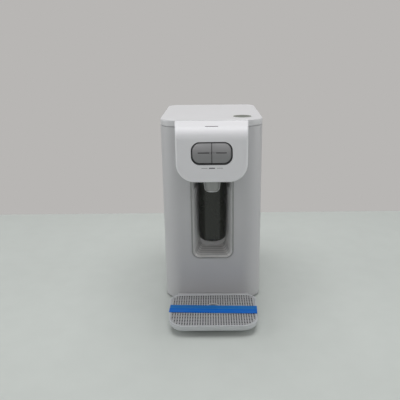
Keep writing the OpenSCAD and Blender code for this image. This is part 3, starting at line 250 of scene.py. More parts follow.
@dataclass(frozen=True)
class Finish:
    """A moulded, pressed or painted surface with its own grain.

    Attributes:
        name: Name of the material.
        colour: Linear base colour.
        roughness: Middle of the roughness.
        drift: Share by which the colour drifts over the piece.
        roughness_drift: Amount by which the roughness drifts.
        metallic: Share of metal.
        coat: Weight of a clear gloss layer.
        specular: Strength of the plain gloss.
        grain_scale: Grains per metre of the fine bump.
        grain_height: Depth of the fine bump in metres.
        grain: Direction of the grain.
        edge_radius: Radius in metres by which edges catch the light.
        alpha: Opacity of the piece.
    """

    name: str
    colour: Colour
    roughness: float
    drift: float = 0.03
    roughness_drift: float = 0.05
    metallic: float = 0.0
    coat: float = 0.0
    specular: float = 0.5
    grain_scale: float = 1400.0
    grain_height: float = 0.00001
    grain: Grain = Grain.NONE
    edge_radius: float = 0.0006
    alpha: float = 1.0

    def material(self) -> bpy.types.Material:
        """Builds the finish's node material, once.

        Returns:
            The material.
        """
        made = bpy.data.materials.get(self.name)
        if made is not None:
            return made
        sheet = NodeSheet(self.name)
        shader = sheet.add(
            "ShaderNodeBsdfPrincipled", Metallic=self.metallic, Coat_Weight=self.coat,
            Alpha=self.alpha, Specular_IOR_Level=self.specular,
        )
        where = sheet.place(Grain.NONE.value)
        light, dark = self._tones()
        cloud = sheet.noise(where, CLOUD_SCALE, CLOUD_DETAIL)
        sheet.link(sheet.blend(cloud, dark, light), shader.inputs["Base Color"])
        patches = sheet.noise(where, PATCH_SCALE, PATCH_DETAIL)
        smoothest = self.roughness - self.roughness_drift
        roughest = self.roughness + self.roughness_drift
        sheet.link(sheet.spread(patches, smoothest, roughest), shader.inputs["Roughness"])
        bump = sheet.add("ShaderNodeBump", Strength=1.0, Distance=self.grain_height)
        grains = sheet.noise(sheet.place(self.grain.value), self.grain_scale, GRAIN_DETAIL)
        sheet.link(grains, bump.inputs["Height"])
        edges = sheet.add("ShaderNodeBevel", Radius=self.edge_radius)
        edges.samples = EDGE_SAMPLES
        sheet.link(edges.outputs["Normal"], bump.inputs["Normal"])
        sheet.link(bump.outputs["Normal"], shader.inputs["Normal"])
        sheet.link(shader.outputs["BSDF"], sheet.output.inputs["Surface"])
        return sheet.material

    def _tones(self) -> tuple[Colour, Colour]:
        """The two tones that the colour drifts between.

        Returns:
            The light and the dark tone.
        """
        light = tuple(min(1.0, c * (1 + self.drift)) for c in self.colour)
        dark = tuple(c * (1 - self.drift) for c in self.colour)
        return light, dark


Wardrobe = tuple[tuple[Finish, tuple[str, ...]], ...]

# Casing, nose and lid are one white plastic set in three tones: the casing's is darker as painted
# shade, the nose's and the lid's are lighter as painted light.
CASING_WHITE_PAINTED_SHADE = Finish(
    "casing_white_painted_shade", srgb(193, 193, 195), 0.42, drift=0.006, roughness_drift=0.015, coat=0.05,
    edge_radius=0.0003,
)
NOSE_WHITE_PAINTED_LIGHT = Finish(
    "nose_white_painted_light", srgb(233, 233, 236), 0.46, drift=0.006, roughness_drift=0.015, specular=0.3,
    edge_radius=0.0009,
)
LID_WHITE_PAINTED_LIGHT = Finish(
    "lid_white_painted_light", srgb(216, 216, 218), 0.44, drift=0.006, roughness_drift=0.015, coat=0.05,
    edge_radius=0.0009,
)
# The niche lining is one plastic in four tones: walls and floor lighter than the casing as painted
# light, the front edge and the ribs darker as painted shade.
NICHE_WHITE_PAINTED_LIGHT = Finish(
    "niche_white_painted_light", srgb(222, 222, 222), 0.45, drift=0.012, roughness_drift=0.02
)
NICHE_EDGE_PAINTED_SHADE = Finish(
    "niche_edge_painted_shade", srgb(160, 161, 160), 0.50, drift=0.02, specular=0.2, edge_radius=0.0
)
NICHE_RIB_PAINTED_SHADE = Finish("niche_rib_painted_shade", srgb(210, 209, 207), 0.50, drift=0.02, specular=0.3)
NICHE_FLOOR_PAINTED_LIGHT = Finish(
    "niche_floor_painted_light", srgb(247, 246, 245), 0.45, drift=0.01, roughness_drift=0.02
)
CHIN_WHITE = Finish("chin_white", srgb(214, 214, 217), 0.40, drift=0.010, roughness_drift=0.02)
SPOUT_GREY = Finish("spout_grey", srgb(206, 208, 208), 0.38, drift=0.02, edge_radius=0.0008)
# The spout's grey, darkened as painted shade inside its scoop.
SPOUT_SCOOP_PAINTED_SHADE = Finish("spout_scoop_painted_shade", srgb(150, 152, 150), 0.45)
TRAY_GREY = Finish(
    "tray_grey", srgb(199, 202, 205), 0.40, drift=0.010, roughness_drift=0.02, edge_radius=0.0008
)
# The tray's plastic, darkened as painted shade on the basin's floor under the grille.
BASIN_PAINTED_SHADE = Finish("basin_painted_shade", srgb(146, 148, 151), 0.50, drift=0.06)
GRILLE_GREY = Finish("grille_grey", srgb(176, 177, 179), 0.45, drift=0.025, edge_radius=0.0003)
# The grille's plastic, darkened as painted shade on the walls of its slots.
GRILLE_SLOT_PAINTED_SHADE = Finish(
    "grille_slot_painted_shade", srgb(84, 84, 86), 0.55, drift=0.025, specular=0.2, edge_radius=0.0
)
BUTTON_SATIN = Finish(
    "button_satin", srgb(140, 140, 142), 0.38, metallic=0.55, grain=Grain.ACROSS,
    grain_scale=2600.0, grain_height=0.000012,
)
BEZEL_BLACK = Finish("bezel_black", srgb(42, 42, 46), 0.25, coat=0.3)
# The lens's own smoked plastic, also painted as shade on the white walls of the lens's slot in the
# nose.
LENS_SMOKE_AND_SLOT_SHADE = Finish("lens_smoke_and_slot_shade", srgb(20, 21, 23), 0.30, specular=0.0)
FILTER_DARK = Finish(
    "filter_dark", srgb(29, 31, 25), 0.26, drift=0.06, roughness_drift=0.03, coat=0.2
)
CARBON_BLACK = Finish(
    "carbon_black", srgb(30, 30, 31), 0.9, drift=0.2, grain_scale=700.0, grain_height=0.0003
)
RUBBER_BLACK = Finish("rubber_black", srgb(46, 46, 47), 0.8, drift=0.08, grain_height=0.00003)
FITTING_GREY = Finish("fitting_grey", srgb(208, 208, 204), 0.45)
PART_BLACK = Finish("part_black", srgb(48, 48, 50), 0.5, drift=0.05)
TANK_MILKY = Finish("tank_milky", srgb(222, 226, 228), 0.35)
TUBE_MILKY = Finish("tube_milky", srgb(226, 228, 228), 0.4, drift=0.02)
BOARD_GREEN = Finish("board_green", srgb(30, 92, 54), 0.4, drift=0.08, coat=0.3)
STEEL = Finish(
    "drawn_steel", srgb(188, 188, 190), 0.3, metallic=1.0, grain=Grain.UPRIGHT,
    grain_height=0.000008, edge_radius=0.0002,
)
# One blue film in two tones, one on each slope of its crease, as painted shading.
TAPE_NEAR_SLOPE_PAINTED_SHADING = Finish(
    "tape_near_slope_painted_shading", srgb(6, 109, 208), 0.36, drift=0.06, specular=0.25, grain=Grain.ACROSS,
    grain_scale=420.0, grain_height=0.00006, edge_radius=0.0001, alpha=0.90,
)
TAPE_FAR_SLOPE_PAINTED_SHADING = replace(
    TAPE_NEAR_SLOPE_PAINTED_SHADING, name="tape_far_slope_painted_shading", colour=srgb(22, 117, 196), roughness=0.40, alpha=0.88
)
DISC_SMOKE = Finish("disc_smoke", srgb(96, 102, 92), 0.5, drift=0.08, coat=0.2)
DISC_RIM = Finish("disc_rim", srgb(224, 224, 222), 0.35, drift=0.02)
MARK_DARK = Finish("mark_dark", srgb(58, 58, 60), 0.5, drift=0.05)
MARK_GREY = Finish("mark_grey", srgb(110, 110, 112), 0.5, drift=0.05)
FLOOR_PALE = Finish(
    "floor_pale", srgb(205, 210, 206), 0.85, drift=0.01, specular=0.2, edge_radius=0.0
)


class Bench:
    """Hand tools: every new mesh starts as a primitive and is shaped in edit mode."""

    @staticmethod
    def clear() -> None:
        """Leaves edit mode and deselects everything."""
        if bpy.context.object is not None and bpy.context.object.mode != "OBJECT":
            bpy.ops.object.mode_set(mode="OBJECT")
        bpy.ops.object.select_all(action="DESELECT")

    @staticmethod
    def take(piece: bpy.types.Object) -> None:
        """Makes a piece the active object and the only selected one.

        Args:
            piece: The object to work on.
        """
        Bench.clear()
        bpy.context.view_layer.objects.active = piece
        piece.select_set(True)

    @staticmethod
    def settle(name: str) -> bpy.types.Object:
        """Names the active object and moves its place into its mesh.

        Args:
            name: Name of the piece.

        Returns:
            The object, at the origin.
        """
        bpy.ops.object.transform_apply(location=True, rotation=True, scale=True)
        piece = bpy.context.object
        piece.name = name
        piece.data.name = name
        return piece

    @staticmethod
    def block(name: str, centre: Vector, size: Vector) -> bpy.types.Object:
        """A box at its place.

        Args:
            name: Name of the piece.
            centre: Middle of the box.
            size: Its three sides.

        Returns:
            The object.
        """
        Bench.clear()
        bpy.ops.mesh.primitive_cube_add(size=1.0, location=centre)
        bpy.context.object.scale = size
        return Bench.settle(name)

    @staticmethod
    def disc(name: str, centre: Vector, radius: float, height: float) -> bpy.types.Object:
        """An upright round slab whose underside is at the centre.

        Args:
            name: Name of the piece.
            centre: Middle of the underside.
            radius: Radius of the slab.
            height: Height of the slab.

        Returns:
            The object.
        """
        Bench.clear()
        middle = centre + Vector((0, 0, height / 2))
        bpy.ops.mesh.primitive_cylinder_add(
            vertices=DISC_SIDES, radius=radius, depth=height, location=middle
        )
        return Bench.settle(name)

    @staticmethod
    def _unpick(piece: bpy.types.Object, kind: str) -> None:
        """Deselects a piece's whole mesh and stays in object mode.

        Args:
            piece: The object to work on.
            kind: Blender's name of what is picked next, VERT or FACE.
        """
        Bench.take(piece)
        bpy.ops.object.mode_set(mode="EDIT")
        bpy.ops.mesh.select_mode(type=kind)
        bpy.ops.mesh.select_all(action="DESELECT")
        bpy.ops.object.mode_set(mode="OBJECT")

    @staticmethod
    def pick_faces(piece: bpy.types.Object, wanted: FaceTest) -> None:
        """Selects the faces that pass a test and enters edit mode.

        Args:
            piece: Object whose faces are tested.
            wanted: Test of one face.
        """
        Bench._unpick(piece, "FACE")
        for face in piece.data.polygons:
            face.select = wanted(face)
        bpy.ops.object.mode_set(mode="EDIT")

    @staticmethod
    def pick_points(piece: bpy.types.Object, wanted: Callable[[Vector], bool]) -> None:
        """Selects the points that pass a test and enters edit mode.

        Args:
            piece: Object whose points are tested.
            wanted: Test of one point's place.
        """
        Bench._unpick(piece, "VERT")
        for vertex in piece.data.vertices:
            vertex.select = wanted(vertex.co)
        bpy.ops.object.mode_set(mode="EDIT")

    @staticmethod
    def finish_modifier(piece: bpy.types.Object, kind: str, **values: Any) -> None:
        """Adds a modifier to the active piece and applies it.

        Args:
            piece: The active object.
            kind: Blender's type name of the modifier.
            **values: Settings of the modifier.
        """
        modifier = piece.modifiers.new(kind.lower(), kind)
        for key, value in values.items():
            setattr(modifier, key, value)
        bpy.ops.object.modifier_apply(modifier=modifier.name)

    @staticmethod
    def twin(node: str, name: str) -> bpy.types.Object:
        """A merged copy of a CAD node's mesh.

        Args:
            node: Name of the node.
            name: Name of the copy.

        Returns:
            The copy, active and selected.
        """
        piece = frame["nodes"][node].copy()
        piece.data = piece.data.copy()
        for key in list(piece.keys()):
            del piece[key]
        piece.parent = None
        bpy.context.scene.collection.objects.link(piece)
        piece.name = name
        piece.data.name = name
        Bench.take(piece)
        bpy.ops.object.mode_set(mode="EDIT")
        bpy.ops.mesh.select_all(action="SELECT")
        bpy.ops.mesh.remove_doubles(threshold=MERGE_REACH)
        bpy.ops.object.mode_set(mode="OBJECT")
        return piece

    @staticmethod
    def smooth(piece: bpy.types.Object) -> None:
        """Shades round faces smooth and flat faces flat."""
        bpy.ops.object.shade_smooth_by_angle(angle=math.radians(CRISP_MOULDED))
        Bench.finish_modifier(piece, "WEIGHTED_NORMAL", keep_sharp=True)

    @staticmethod
    def soften(node: str, finish: Finish, body: Body, slot: str) -> bpy.types.Object:
        """A smooth-shaded piece that stands for a node whose round faces are facets.

        Args:
            node: Name of the node.
            finish: Surface of the piece.
            body: Moving group it rides on.
            slot: Material slot of the record.

        Returns:
            The piece.
        """
        piece = Bench.twin(node, f"{node}_smooth")
        Bench.smooth(piece)
        Bench.dress(piece, finish, body, slot)
        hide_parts(node)
        return piece

    @staticmethod
    def ease(piece: bpy.types.Object, width: float) -> None:
        """Rounds every sharp edge with an applied bevel.

        Args:
            piece: Object to round.
            width: Width of the bevel.
        """
        Bench.take(piece)
        Bench.finish_modifier(
            piece, "BEVEL", width=width, segments=EASE_STEPS, limit_method="ANGLE"
        )
        bpy.ops.object.shade_smooth_by_angle(angle=math.radians(CRISP_EASED))

    @staticmethod
    def dress(piece: bpy.types.Object, finish: Finish, body: Body, slot: str) -> None:
        """Gives a new piece its finish and its body.

        Args:
            piece: The finished object.
            finish: Its surface.
            body: Moving group it rides on.
            slot: Not used.
        """
        piece.data.materials.clear()
        piece.data.materials.append(finish.material())
        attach(piece, body.value)
        LOG.info("%s: %d faces on %s", piece.name, len(piece.data.polygons), body.value)

    @staticmethod
    def paint(piece: bpy.types.Object, finish: Finish, wanted: FaceTest) -> None:
        """Puts a second finish on the faces that pass a test.

        Args:
            piece: A dressed object.
            finish: The second surface.
            wanted: Test of one face.
        """
        piece.data.materials.append(finish.material())
        for face in piece.data.polygons:
            face.material_index = int(wanted(face))


def dress_nodes(wardrobe: Wardrobe) -> None:
    """Puts finishes on CAD nodes, which keep their mesh and place.

    Args:
        wardrobe: Each finish with the names of the nodes that wear it.
    """
    for finish, names in wardrobe:
        for name in names:
            node = frame["nodes"][name]
            node.data.materials.clear()
            node.data.materials.append(finish.material())
            LOG.info("%s wears %s", name, finish.name)


@dataclass
class Casing:
    """White shells, niche, nose, spout and base.

    Attributes:
        nodes: Finishes of the nodes that are shown as they are.
        disc_right: Distance of the lid's round patch to the right of the middle.
        disc_back: Distance of the patch behind the lid's front edge.
        disc_radius: Radius of the patch.
        disc_height: Thickness of the patch.
        disc_sink: Distance of the patch's middle below its rim.
        disc_ease: Rounding of the patch's edges.
        rim_width: Width of the pale rim round the patch.
        rim_share: Share of the middle's radius inside which its faces lie.
        slot_tilt: Largest upward share in the normal of a wall of the lens's slot.
        rib_first: Depth of the niche's first rib behind the casing's front.
        rib_pitch: Distance from rib to rib.
        rib_width: Width of a rib.
        rib_height: How far a rib stands out of the niche's wall.
        rib_count: Number of ribs.
        rib_top: Distance of the ribs' upper ends below the lining's top.
        wall_facing: Least inward share in the normal of a wall that carries ribs.
        edge_depth: Depth of the lining's front edge, which is painted darker as shade.
        floor_top: Height above the lining's foot up to which its floor reaches.
        floor_facing: Least upward share in the normal of the floor.
        scoop_angle: Half angle of the spout's scoop round its axis, in degrees.
        scoop_from: Share of the spout's radius outside which the scoop lies.
        scoop_rim: Width of the rim round the scoop.
        scoop_depth: Depth of the scoop.
    """

    nodes: Wardrobe = (
        # The casing's darker white paints shade on body_shell, rear_cover and base_plate.
        (CASING_WHITE_PAINTED_SHADE, ("body_shell", "rear_cover", "base_plate")),
        (CHIN_WHITE, ("chin_plate",)),
        (LENS_SMOKE_AND_SLOT_SHADE, ("status_lens",)),
        (RUBBER_BLACK, ("rubber_feet",)),
    )
    disc_right: float = 55 * MM
    disc_back: float = 42.5 * MM
    disc_radius: float = 17.5 * MM
    disc_height: float = 0.4 * MM
    disc_sink: float = 0.4 * MM / 3
    disc_ease: float = 0.1 * MM
    rim_width: float = 1.2 * MM
    rim_share: float = 0.99
    slot_tilt: float = 0.5
    rib_first: float = 10 * MM
    rib_pitch: float = 9.5 * MM
    rib_width: float = 2.2 * MM
    rib_height: float = 0.8 * MM
    rib_count: int = 5
    rib_top: float = 40 * MM
    wall_facing: float = 0.5
    edge_depth: float = 2 * MM
    floor_top: float = 20 * MM
    floor_facing: float = 0.7
    scoop_angle: float = 62.0
    scoop_from: float = 0.78
    scoop_rim: float = 1.2 * MM
    scoop_depth: float = 1.4 * MM

    def build(self) -> None:
        """Dresses the shells, ribs the niche, scoops the spout and lays the lid's patch."""
        dress_nodes(self.nodes)
        self._nose()
        Bench.soften("top_lid", LID_WHITE_PAINTED_LIGHT, Body.HOUSING, "casing")
        self._niche()
        self._spout()
        self._lid_patch()

    def _nose(self) -> None:
        """The nose, with painted shade on the walls of its status lens's slot."""
        nose = Bench.soften("nose_shell", NOSE_WHITE_PAINTED_LIGHT, Body.HOUSING, "casing")
        low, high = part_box("status_lens")

        def in_slot(face: bpy.types.MeshPolygon) -> bool:
            """Whether a face is a wall of the lens's slot.

            Args:
                face: Face of the nose.

            Returns:
                True for a wall of the slot.
            """
            place = face.center
            within = low.x < place.x < high.x and low.y < place.y < high.y
            return within and place.z > low.z and abs(face.normal.z) < self.slot_tilt

        # The slot's walls are painted dark as shade.
        Bench.paint(nose, LENS_SMOKE_AND_SLOT_SHADE, in_slot)

    def _spout(self) -> None:
        """The spout, with a shallow scoop between two side rims in its front, painted darker
        inside as shade.
        """
        spout = Bench.twin("spout", "spout_scooped")
        low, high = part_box("spout")
        axis = (low + high) / 2
        reach = self.scoop_from * ((high.x - low.x) / 2)
        lean = -math.cos(math.radians(self.scoop_angle))
        Bench.pick_faces(
            spout,
            lambda face: face.normal.y < lean and (face.center - axis).to_2d().length > reach,
        )
        bpy.ops.mesh.inset(thickness=self.scoop_rim)
        bpy.ops.transform.shrink_fatten(value=-self.scoop_depth)
        bpy.ops.object.mode_set(mode="OBJECT")
        scooped = [face.select for face in spout.data.polygons]
        Bench.smooth(spout)
        Bench.dress(spout, SPOUT_GREY, Body.HOUSING, "niche")
        # The scooped faces are painted darker as shade.
        Bench.paint(spout, SPOUT_SCOOP_PAINTED_SHADE, lambda face: scooped[face.index])
        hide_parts("spout")

    def _niche(self) -> None:
        """The niche lining, with the ribs of its floor carried up both walls."""
        lining = Bench.twin("niche_liner", "niche_lining")
        low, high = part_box("niche_liner")
        front = casing_front()
        rib_end = high.z - self.rib_top
        starts = [front + self.rib_first + i * self.rib_pitch for i in range(self.rib_count)]
        bands = [(start, start + self.rib_width) for start in starts]
        bpy.ops.object.mode_set(mode="EDIT")
        for cut in (place for band in bands for place in band):
            bpy.ops.mesh.select_all(action="SELECT")
            bpy.ops.mesh.bisect(plane_co=(0, cut, 0), plane_no=(0, 1, 0))
        bpy.ops.mesh.select_all(action="SELECT")
        bpy.ops.mesh.bisect(plane_co=(0, 0, rib_end), plane_no=(0, 0, 1))
        bpy.ops.object.mode_set(mode="OBJECT")

        def banded(place: Vector) -> bool:
            """Whether a point lies as deep in the niche as one of the ribs."""
            return any(first < place.y < last for first, last in bands)

        def ribbed(face: bpy.types.MeshPolygon) -> bool:
            """Whether a face lies in a band of the lining's inner walls.

            Args:
                face: Face of the lining.

            Returns:
                True where a rib rises.
            """
            place = face.center
            inward = -face.normal.x * place.x > self.wall_facing * abs(place.x)
            return inward and banded(place) and place.z < rib_end

        Bench.pick_faces(lining, ribbed)
        bpy.ops.mesh.extrude_region_shrink_fatten(
            TRANSFORM_OT_shrink_fatten={"value": self.rib_height}
        )
        bpy.ops.object.mode_set(mode="OBJECT")
        raised = [face.select for face in lining.data.polygons]
        Bench.smooth(lining)
        Bench.dress(lining, NICHE_WHITE_PAINTED_LIGHT, Body.HOUSING, "niche")
        for finish in (NICHE_EDGE_PAINTED_SHADE, NICHE_FLOOR_PAINTED_LIGHT, NICHE_RIB_PAINTED_SHADE):
            lining.data.materials.append(finish.material())

        def zone(face: bpy.types.MeshPolygon) -> NicheZone:
            """The zone that a face belongs to.

            Args:
                face: Face of the lining.

            Returns:
                Its zone.
            """
            if face.normal.y < -SQUARE_ON and face.center.y < front + self.edge_depth:
                return NicheZone.EDGE
            if face.normal.z > self.floor_facing and face.center.z < low.z + self.floor_top:
                return NicheZone.RIB if banded(face.center) else NicheZone.FLOOR
            return NicheZone.RIB if raised[face.index] else NicheZone.WALL

        # Painted light on the walls and the floor, painted shade on the front edge and the ribs.
        for face in lining.data.polygons:
            face.material_index = zone(face).value
        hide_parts("niche_liner")

    def _lid_patch(self) -> None:
        """A plain round patch with a pale rim, stuck flat on the lid."""
        low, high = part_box("top_lid")
        centre = Vector((self.disc_right, low.y + self.disc_back, high.z))
        patch = Bench.disc("lid_patch", centre, self.disc_radius, self.disc_height)
        Bench.pick_faces(patch, lambda face: face.normal.z > SQUARE_ON)
        bpy.ops.mesh.inset(thickness=self.rim_width)
        bpy.ops.transform.translate(value=(0, 0, -self.disc_sink))
        bpy.ops.object.mode_set(mode="OBJECT")
        Bench.ease(patch, self.disc_ease)
        Bench.dress(patch, DISC_RIM, Body.HOUSING, "casing")
        inner = (self.disc_radius - self.rim_width) * self.rim_share

        def in_middle(face: bpy.types.MeshPolygon) -> bool:
            """Whether a face lies in the sunk middle."""
            away = (face.center - centre).to_2d().length
            return face.normal.z > SQUARE_ON and away < inner

        Bench.paint(patch, DISC_SMOKE, in_middle)


@dataclass(frozen=True)
class Dash:
    """A plain printed bar on the nose or on a button.

    Attributes:
        name: Name of the piece.
        body: Moving group it rides on.
        left: Left end from the middle of the object.
        right: Right end from the middle of the object.
        middle: Height of its middle above the table.
        tall: Its height.
        finish: Its surface.
    """

    name: str
    body: Body
    left: float
    right: float
    middle: float
    tall: float
    finish: Finish

    def build(self, face: float, rise: float) -> None:
        """Lays the bar on an upright face that looks to the front, half sunk into it.

        Args:
            face: Place of the face, front to back.
            rise: How far the bar stands out of the face.
        """
        centre = Vector(((self.left + self.right) / 2, face, self.middle))
        size = Vector((self.right - self.left, 2 * rise, self.tall))
        bar = Bench.block(self.name, centre, size)
        Bench.ease(bar, rise / 2)
        Bench.dress(bar, self.finish, self.body, "bezel")


@dataclass
class Buttons:
    """Button pair with its surround and plain marks.

    Attributes:
        nodes: Finishes of the nodes that are shown as they are.
        mark_rise: How far a mark stands out of the face that carries it.
        spring_keep: Share of its length that a spring keeps when its button is pressed; not used.
        button_marks: The bar on each button.
        nose_marks: The bars below the buttons.
    """

    nodes: Wardrobe = (
        (BEZEL_BLACK, ("button_bezel",)),
        (PART_BLACK, ("button_carrier", "tact_switches")),
        (BOARD_GREEN, ("control_board",)),
    )
    mark_rise: float = 0.10 * MM
    spring_keep: float = 0.75
    button_marks: tuple[Dash, ...] = (
        Dash(
            "left_button_mark", Body.LEFT_BUTTON, -22 * MM, -4 * MM, 299.4 * MM, 1.7 * MM,
            MARK_DARK,
        ),
        Dash(
            "right_button_mark", Body.RIGHT_BUTTON, 7 * MM, 23.5 * MM, 299.4 * MM, 1.7 * MM,
            MARK_DARK,
        ),
    )
    nose_marks: tuple[Dash, ...] = (
        Dash(
            "nose_mark_left", Body.HOUSING, -16.5 * MM, -7 * MM, 274.5 * MM, 0.6 * MM, MARK_GREY
        ),
        Dash(
            "nose_mark_middle", Body.HOUSING, -4.6 * MM, 4.9 * MM, 274.5 * MM, 1.7 * MM, MARK_GREY
        ),
        Dash(
            "nose_mark_right", Body.HOUSING, 8 * MM, 17.6 * MM, 274.5 * MM, 0.6 * MM, MARK_GREY
        ),
    )

    def build(self) -> None:
        """Dresses the buttons, marks them and puts smooth copies of their springs in place."""
        dress_nodes(self.nodes)
        for mark in self.button_marks:
            Bench.soften(mark.body.value, BUTTON_SATIN, mark.body, "button")
            mark.build(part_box(mark.body.value)[0].y, self.mark_rise)
            self._spring(mark.body)
        for mark in self.nose_marks:
            mark.build(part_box("nose_shell")[0].y, self.mark_rise)

    def _spring(self, body: Body) -> None:
        """A smooth-shaded coil in place of the CAD coil.

        Args:
            body: The button's moving group.
        """
        node = f"{body.value}_spring"
        coil = Bench.twin(node, f"{node}_coil")
        bpy.ops.object.shade_smooth()
        Bench.dress(coil, STEEL, Body.HOUSING, "steel")
        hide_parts(node)
        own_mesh(coil)


@dataclass
class Filter:
    """Cartridge, its head and the turning ring.

    Attributes:
        nodes: Finishes of the nodes, which are all shown as they are.
    """

    nodes: Wardrobe = (
        (FILTER_DARK, ("filter_shell", "filter_cap")),
        (CARBON_BLACK, ("carbon_block",)),
        (RUBBER_BLACK, ("filter_o_rings",)),
        (FITTING_GREY, ("filter_head", "bayonet_ring")),
    )

    def build(self) -> None:
        """Dresses the cartridge and its seat."""
        dress_nodes(self.nodes)


@dataclass
class DripTray:
    """Tray, grille and the transit tape across it.

    Attributes:
        basin_below: Distance below the rim at which the tray's basin starts.
        slot_rows: Rows of slots in the grille.
        slot_margin: Distance of the first slot from the grille's edge.
        slot_tilt: Largest upward share in the normal of a slot's wall.
        bar_width: Width of a bar across the slots.
        bar_sink: Distance of the added bars' top below the grille's top.
        bar_height: Height of the added bars.
        bar_tuck: How far the added bars reach into the grille beside their last slot.
        ring_half: Half of the gap in the added bars at the finger ring.
        ring_rise: Height of the finger ring above the bars.
        tape_front: Distance of the tape's front edge in front of the casing.
        tape_width: Width of the tape.
        tape_thickness: Thickness of the tape.
        tape_gap: Gap between the tray's rim and the tape.
        tape_inset: Distance of the tape's ends inside the tray's sides.
        tape_turn: Angle by which the tape lies askew, in degrees.
        columns: Cells along the tape.
        rows: Cells across the tape.
        crease: Height of the crease along the tape.
        crease_half: Half width of the crease, in cells.
        ripple: Height of the tape's ripples.
        ripple_size: Size of one ripple.
    """

    basin_below: float = 4 * MM
    slot_rows: int = 11
    slot_margin: float = 2 * MM
    slot_tilt: float = 0.3
    bar_width: float = 1.8 * MM
    bar_sink: float = 0.3 * MM
    bar_height: float = 1.1 * MM
    bar_tuck: float = 0.5 * MM
    ring_half: float = 11.5 * MM
    ring_rise: float = 0.3 * MM
    tape_front: float = 86 * MM
    tape_width: float = 26 * MM
    tape_thickness: float = 0.12 * MM
    tape_gap: float = 0.10 * MM
    tape_inset: float = 1.6 * MM
    tape_turn: float = 2.6
    columns: int = 96
    rows: int = 14
    crease: float = 0.7 * MM
    crease_half: float = 0.6
    ripple: float = 0.7 * MM
    ripple_size: float = 16 * MM

    def build(self) -> None:
        """Dresses the tray, bars the grille and lays the tape."""
        tray = Bench.soften("drip_tray", TRAY_GREY, Body.TRAY, "tray")
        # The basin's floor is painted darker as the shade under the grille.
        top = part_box("drip_tray")[1].z - self.basin_below
        Bench.paint(
            tray, BASIN_PAINTED_SHADE, lambda face: face.normal.z > SQUARE_ON and face.center.z < top
        )
        self._grille()
        self._tape()

    def _grille(self) -> None:
        """The grille, with a bar across the middle of every row of slots and painted shade on the
        walls of its slots.
        """
        grille = Bench.twin("drip_grille", "drip_grille_barred")
        ring = self._ring_middle(grille)
        bars = self._bars(grille, ring)
        Bench.take(grille)
        Bench.finish_modifier(grille, "BOOLEAN", operation="UNION", solver="EXACT", object=bars)
        bpy.data.objects.remove(bars)
        Bench.smooth(grille)
        Bench.dress(grille, GRILLE_GREY, Body.GRILLE, "grille")

        def slot_wall(face: bpy.types.MeshPolygon) -> bool:
            """Whether a face is an upright wall away from the finger ring."""
            off_ring = (face.center - ring).to_2d().length > self.ring_half
            return off_ring and abs(face.normal.z) < self.slot_tilt

        # Upright walls away from the finger ring get painted shade.
        Bench.paint(grille, GRILLE_SLOT_PAINTED_SHADE, slot_wall)
        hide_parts("drip_grille")

    def _bars(self, grille: bpy.types.Object, ring: Vector) -> bpy.types.Object:
        """The added bars, one for each row of slots and with a gap at the finger ring.

        Args:
            grille: The grille's mesh.
            ring: Middle of the finger ring.

        Returns:
            All bars as one object.
        """
        low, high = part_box("drip_grille")
        pitch = (high.y - low.y - 2 * self.slot_margin + self.bar_width) / self.slot_rows
        middle = high.z - self.ring_rise - self.bar_sink - self.bar_height / 2
        bars: list[bpy.types.Object] = []
        for row in range(self.slot_rows):
            place = low.y + self.slot_margin + row * pitch + (pitch - self.bar_width) / 2
            end = self._last_slot(grille, place) + self.bar_tuck
            spans = [(-end, end)]
            if abs(place - ring.y) < self.ring_half:
                spans = [(-end, -self.ring_half), (self.ring_half, end)]
            for left, right in spans:
                centre = Vector(((left + right) / 2, place, middle))
                size = Vector((right - left, self.bar_width, self.bar_height))
                bars.append(Bench.block(f"grille_bar_{len(bars)}", centre, size))
        Bench.take(bars[0])
        for bar in bars:
            bar.select_set(True)
        bpy.ops.object.join()
        return bpy.context.object

    def _ring_middle(self, grille: bpy.types.Object) -> Vector:
        """Where the finger ring, the highest part of the grille, has its middle.

        Args:
            grille: The grille's mesh.

        Returns:
            The middle, at the height of the table.
        """
        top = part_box("drip_grille")[1].z
        rim = [v.co.y for v in grille.data.vertices if v.co.z > top - self.ring_rise / 2]
        return Vector((0, (min(rim) + max(rim)) / 2, 0))

    def _last_slot(self, grille: bpy.types.Object, place: float) -> float:
        """How far to the side the slots of one row reach.

        Args:
            grille: The grille's mesh.
            place: Middle of the row, from front to back.

        Returns:
            Distance of the last slot's outer wall from the middle.
        """
        near, far = place - self.bar_width / 2, place + self.bar_width / 2
        reach = 0.0
        for face in grille.data.polygons:
            if face.normal.x > -SQUARE_ON or face.center.x < 0:
                continue
            ends = [grille.data.vertices[i].co.y for i in face.vertices]
            if min(ends) < near and max(ends) > far:
                reach = max(reach, face.center.x)
        return reach

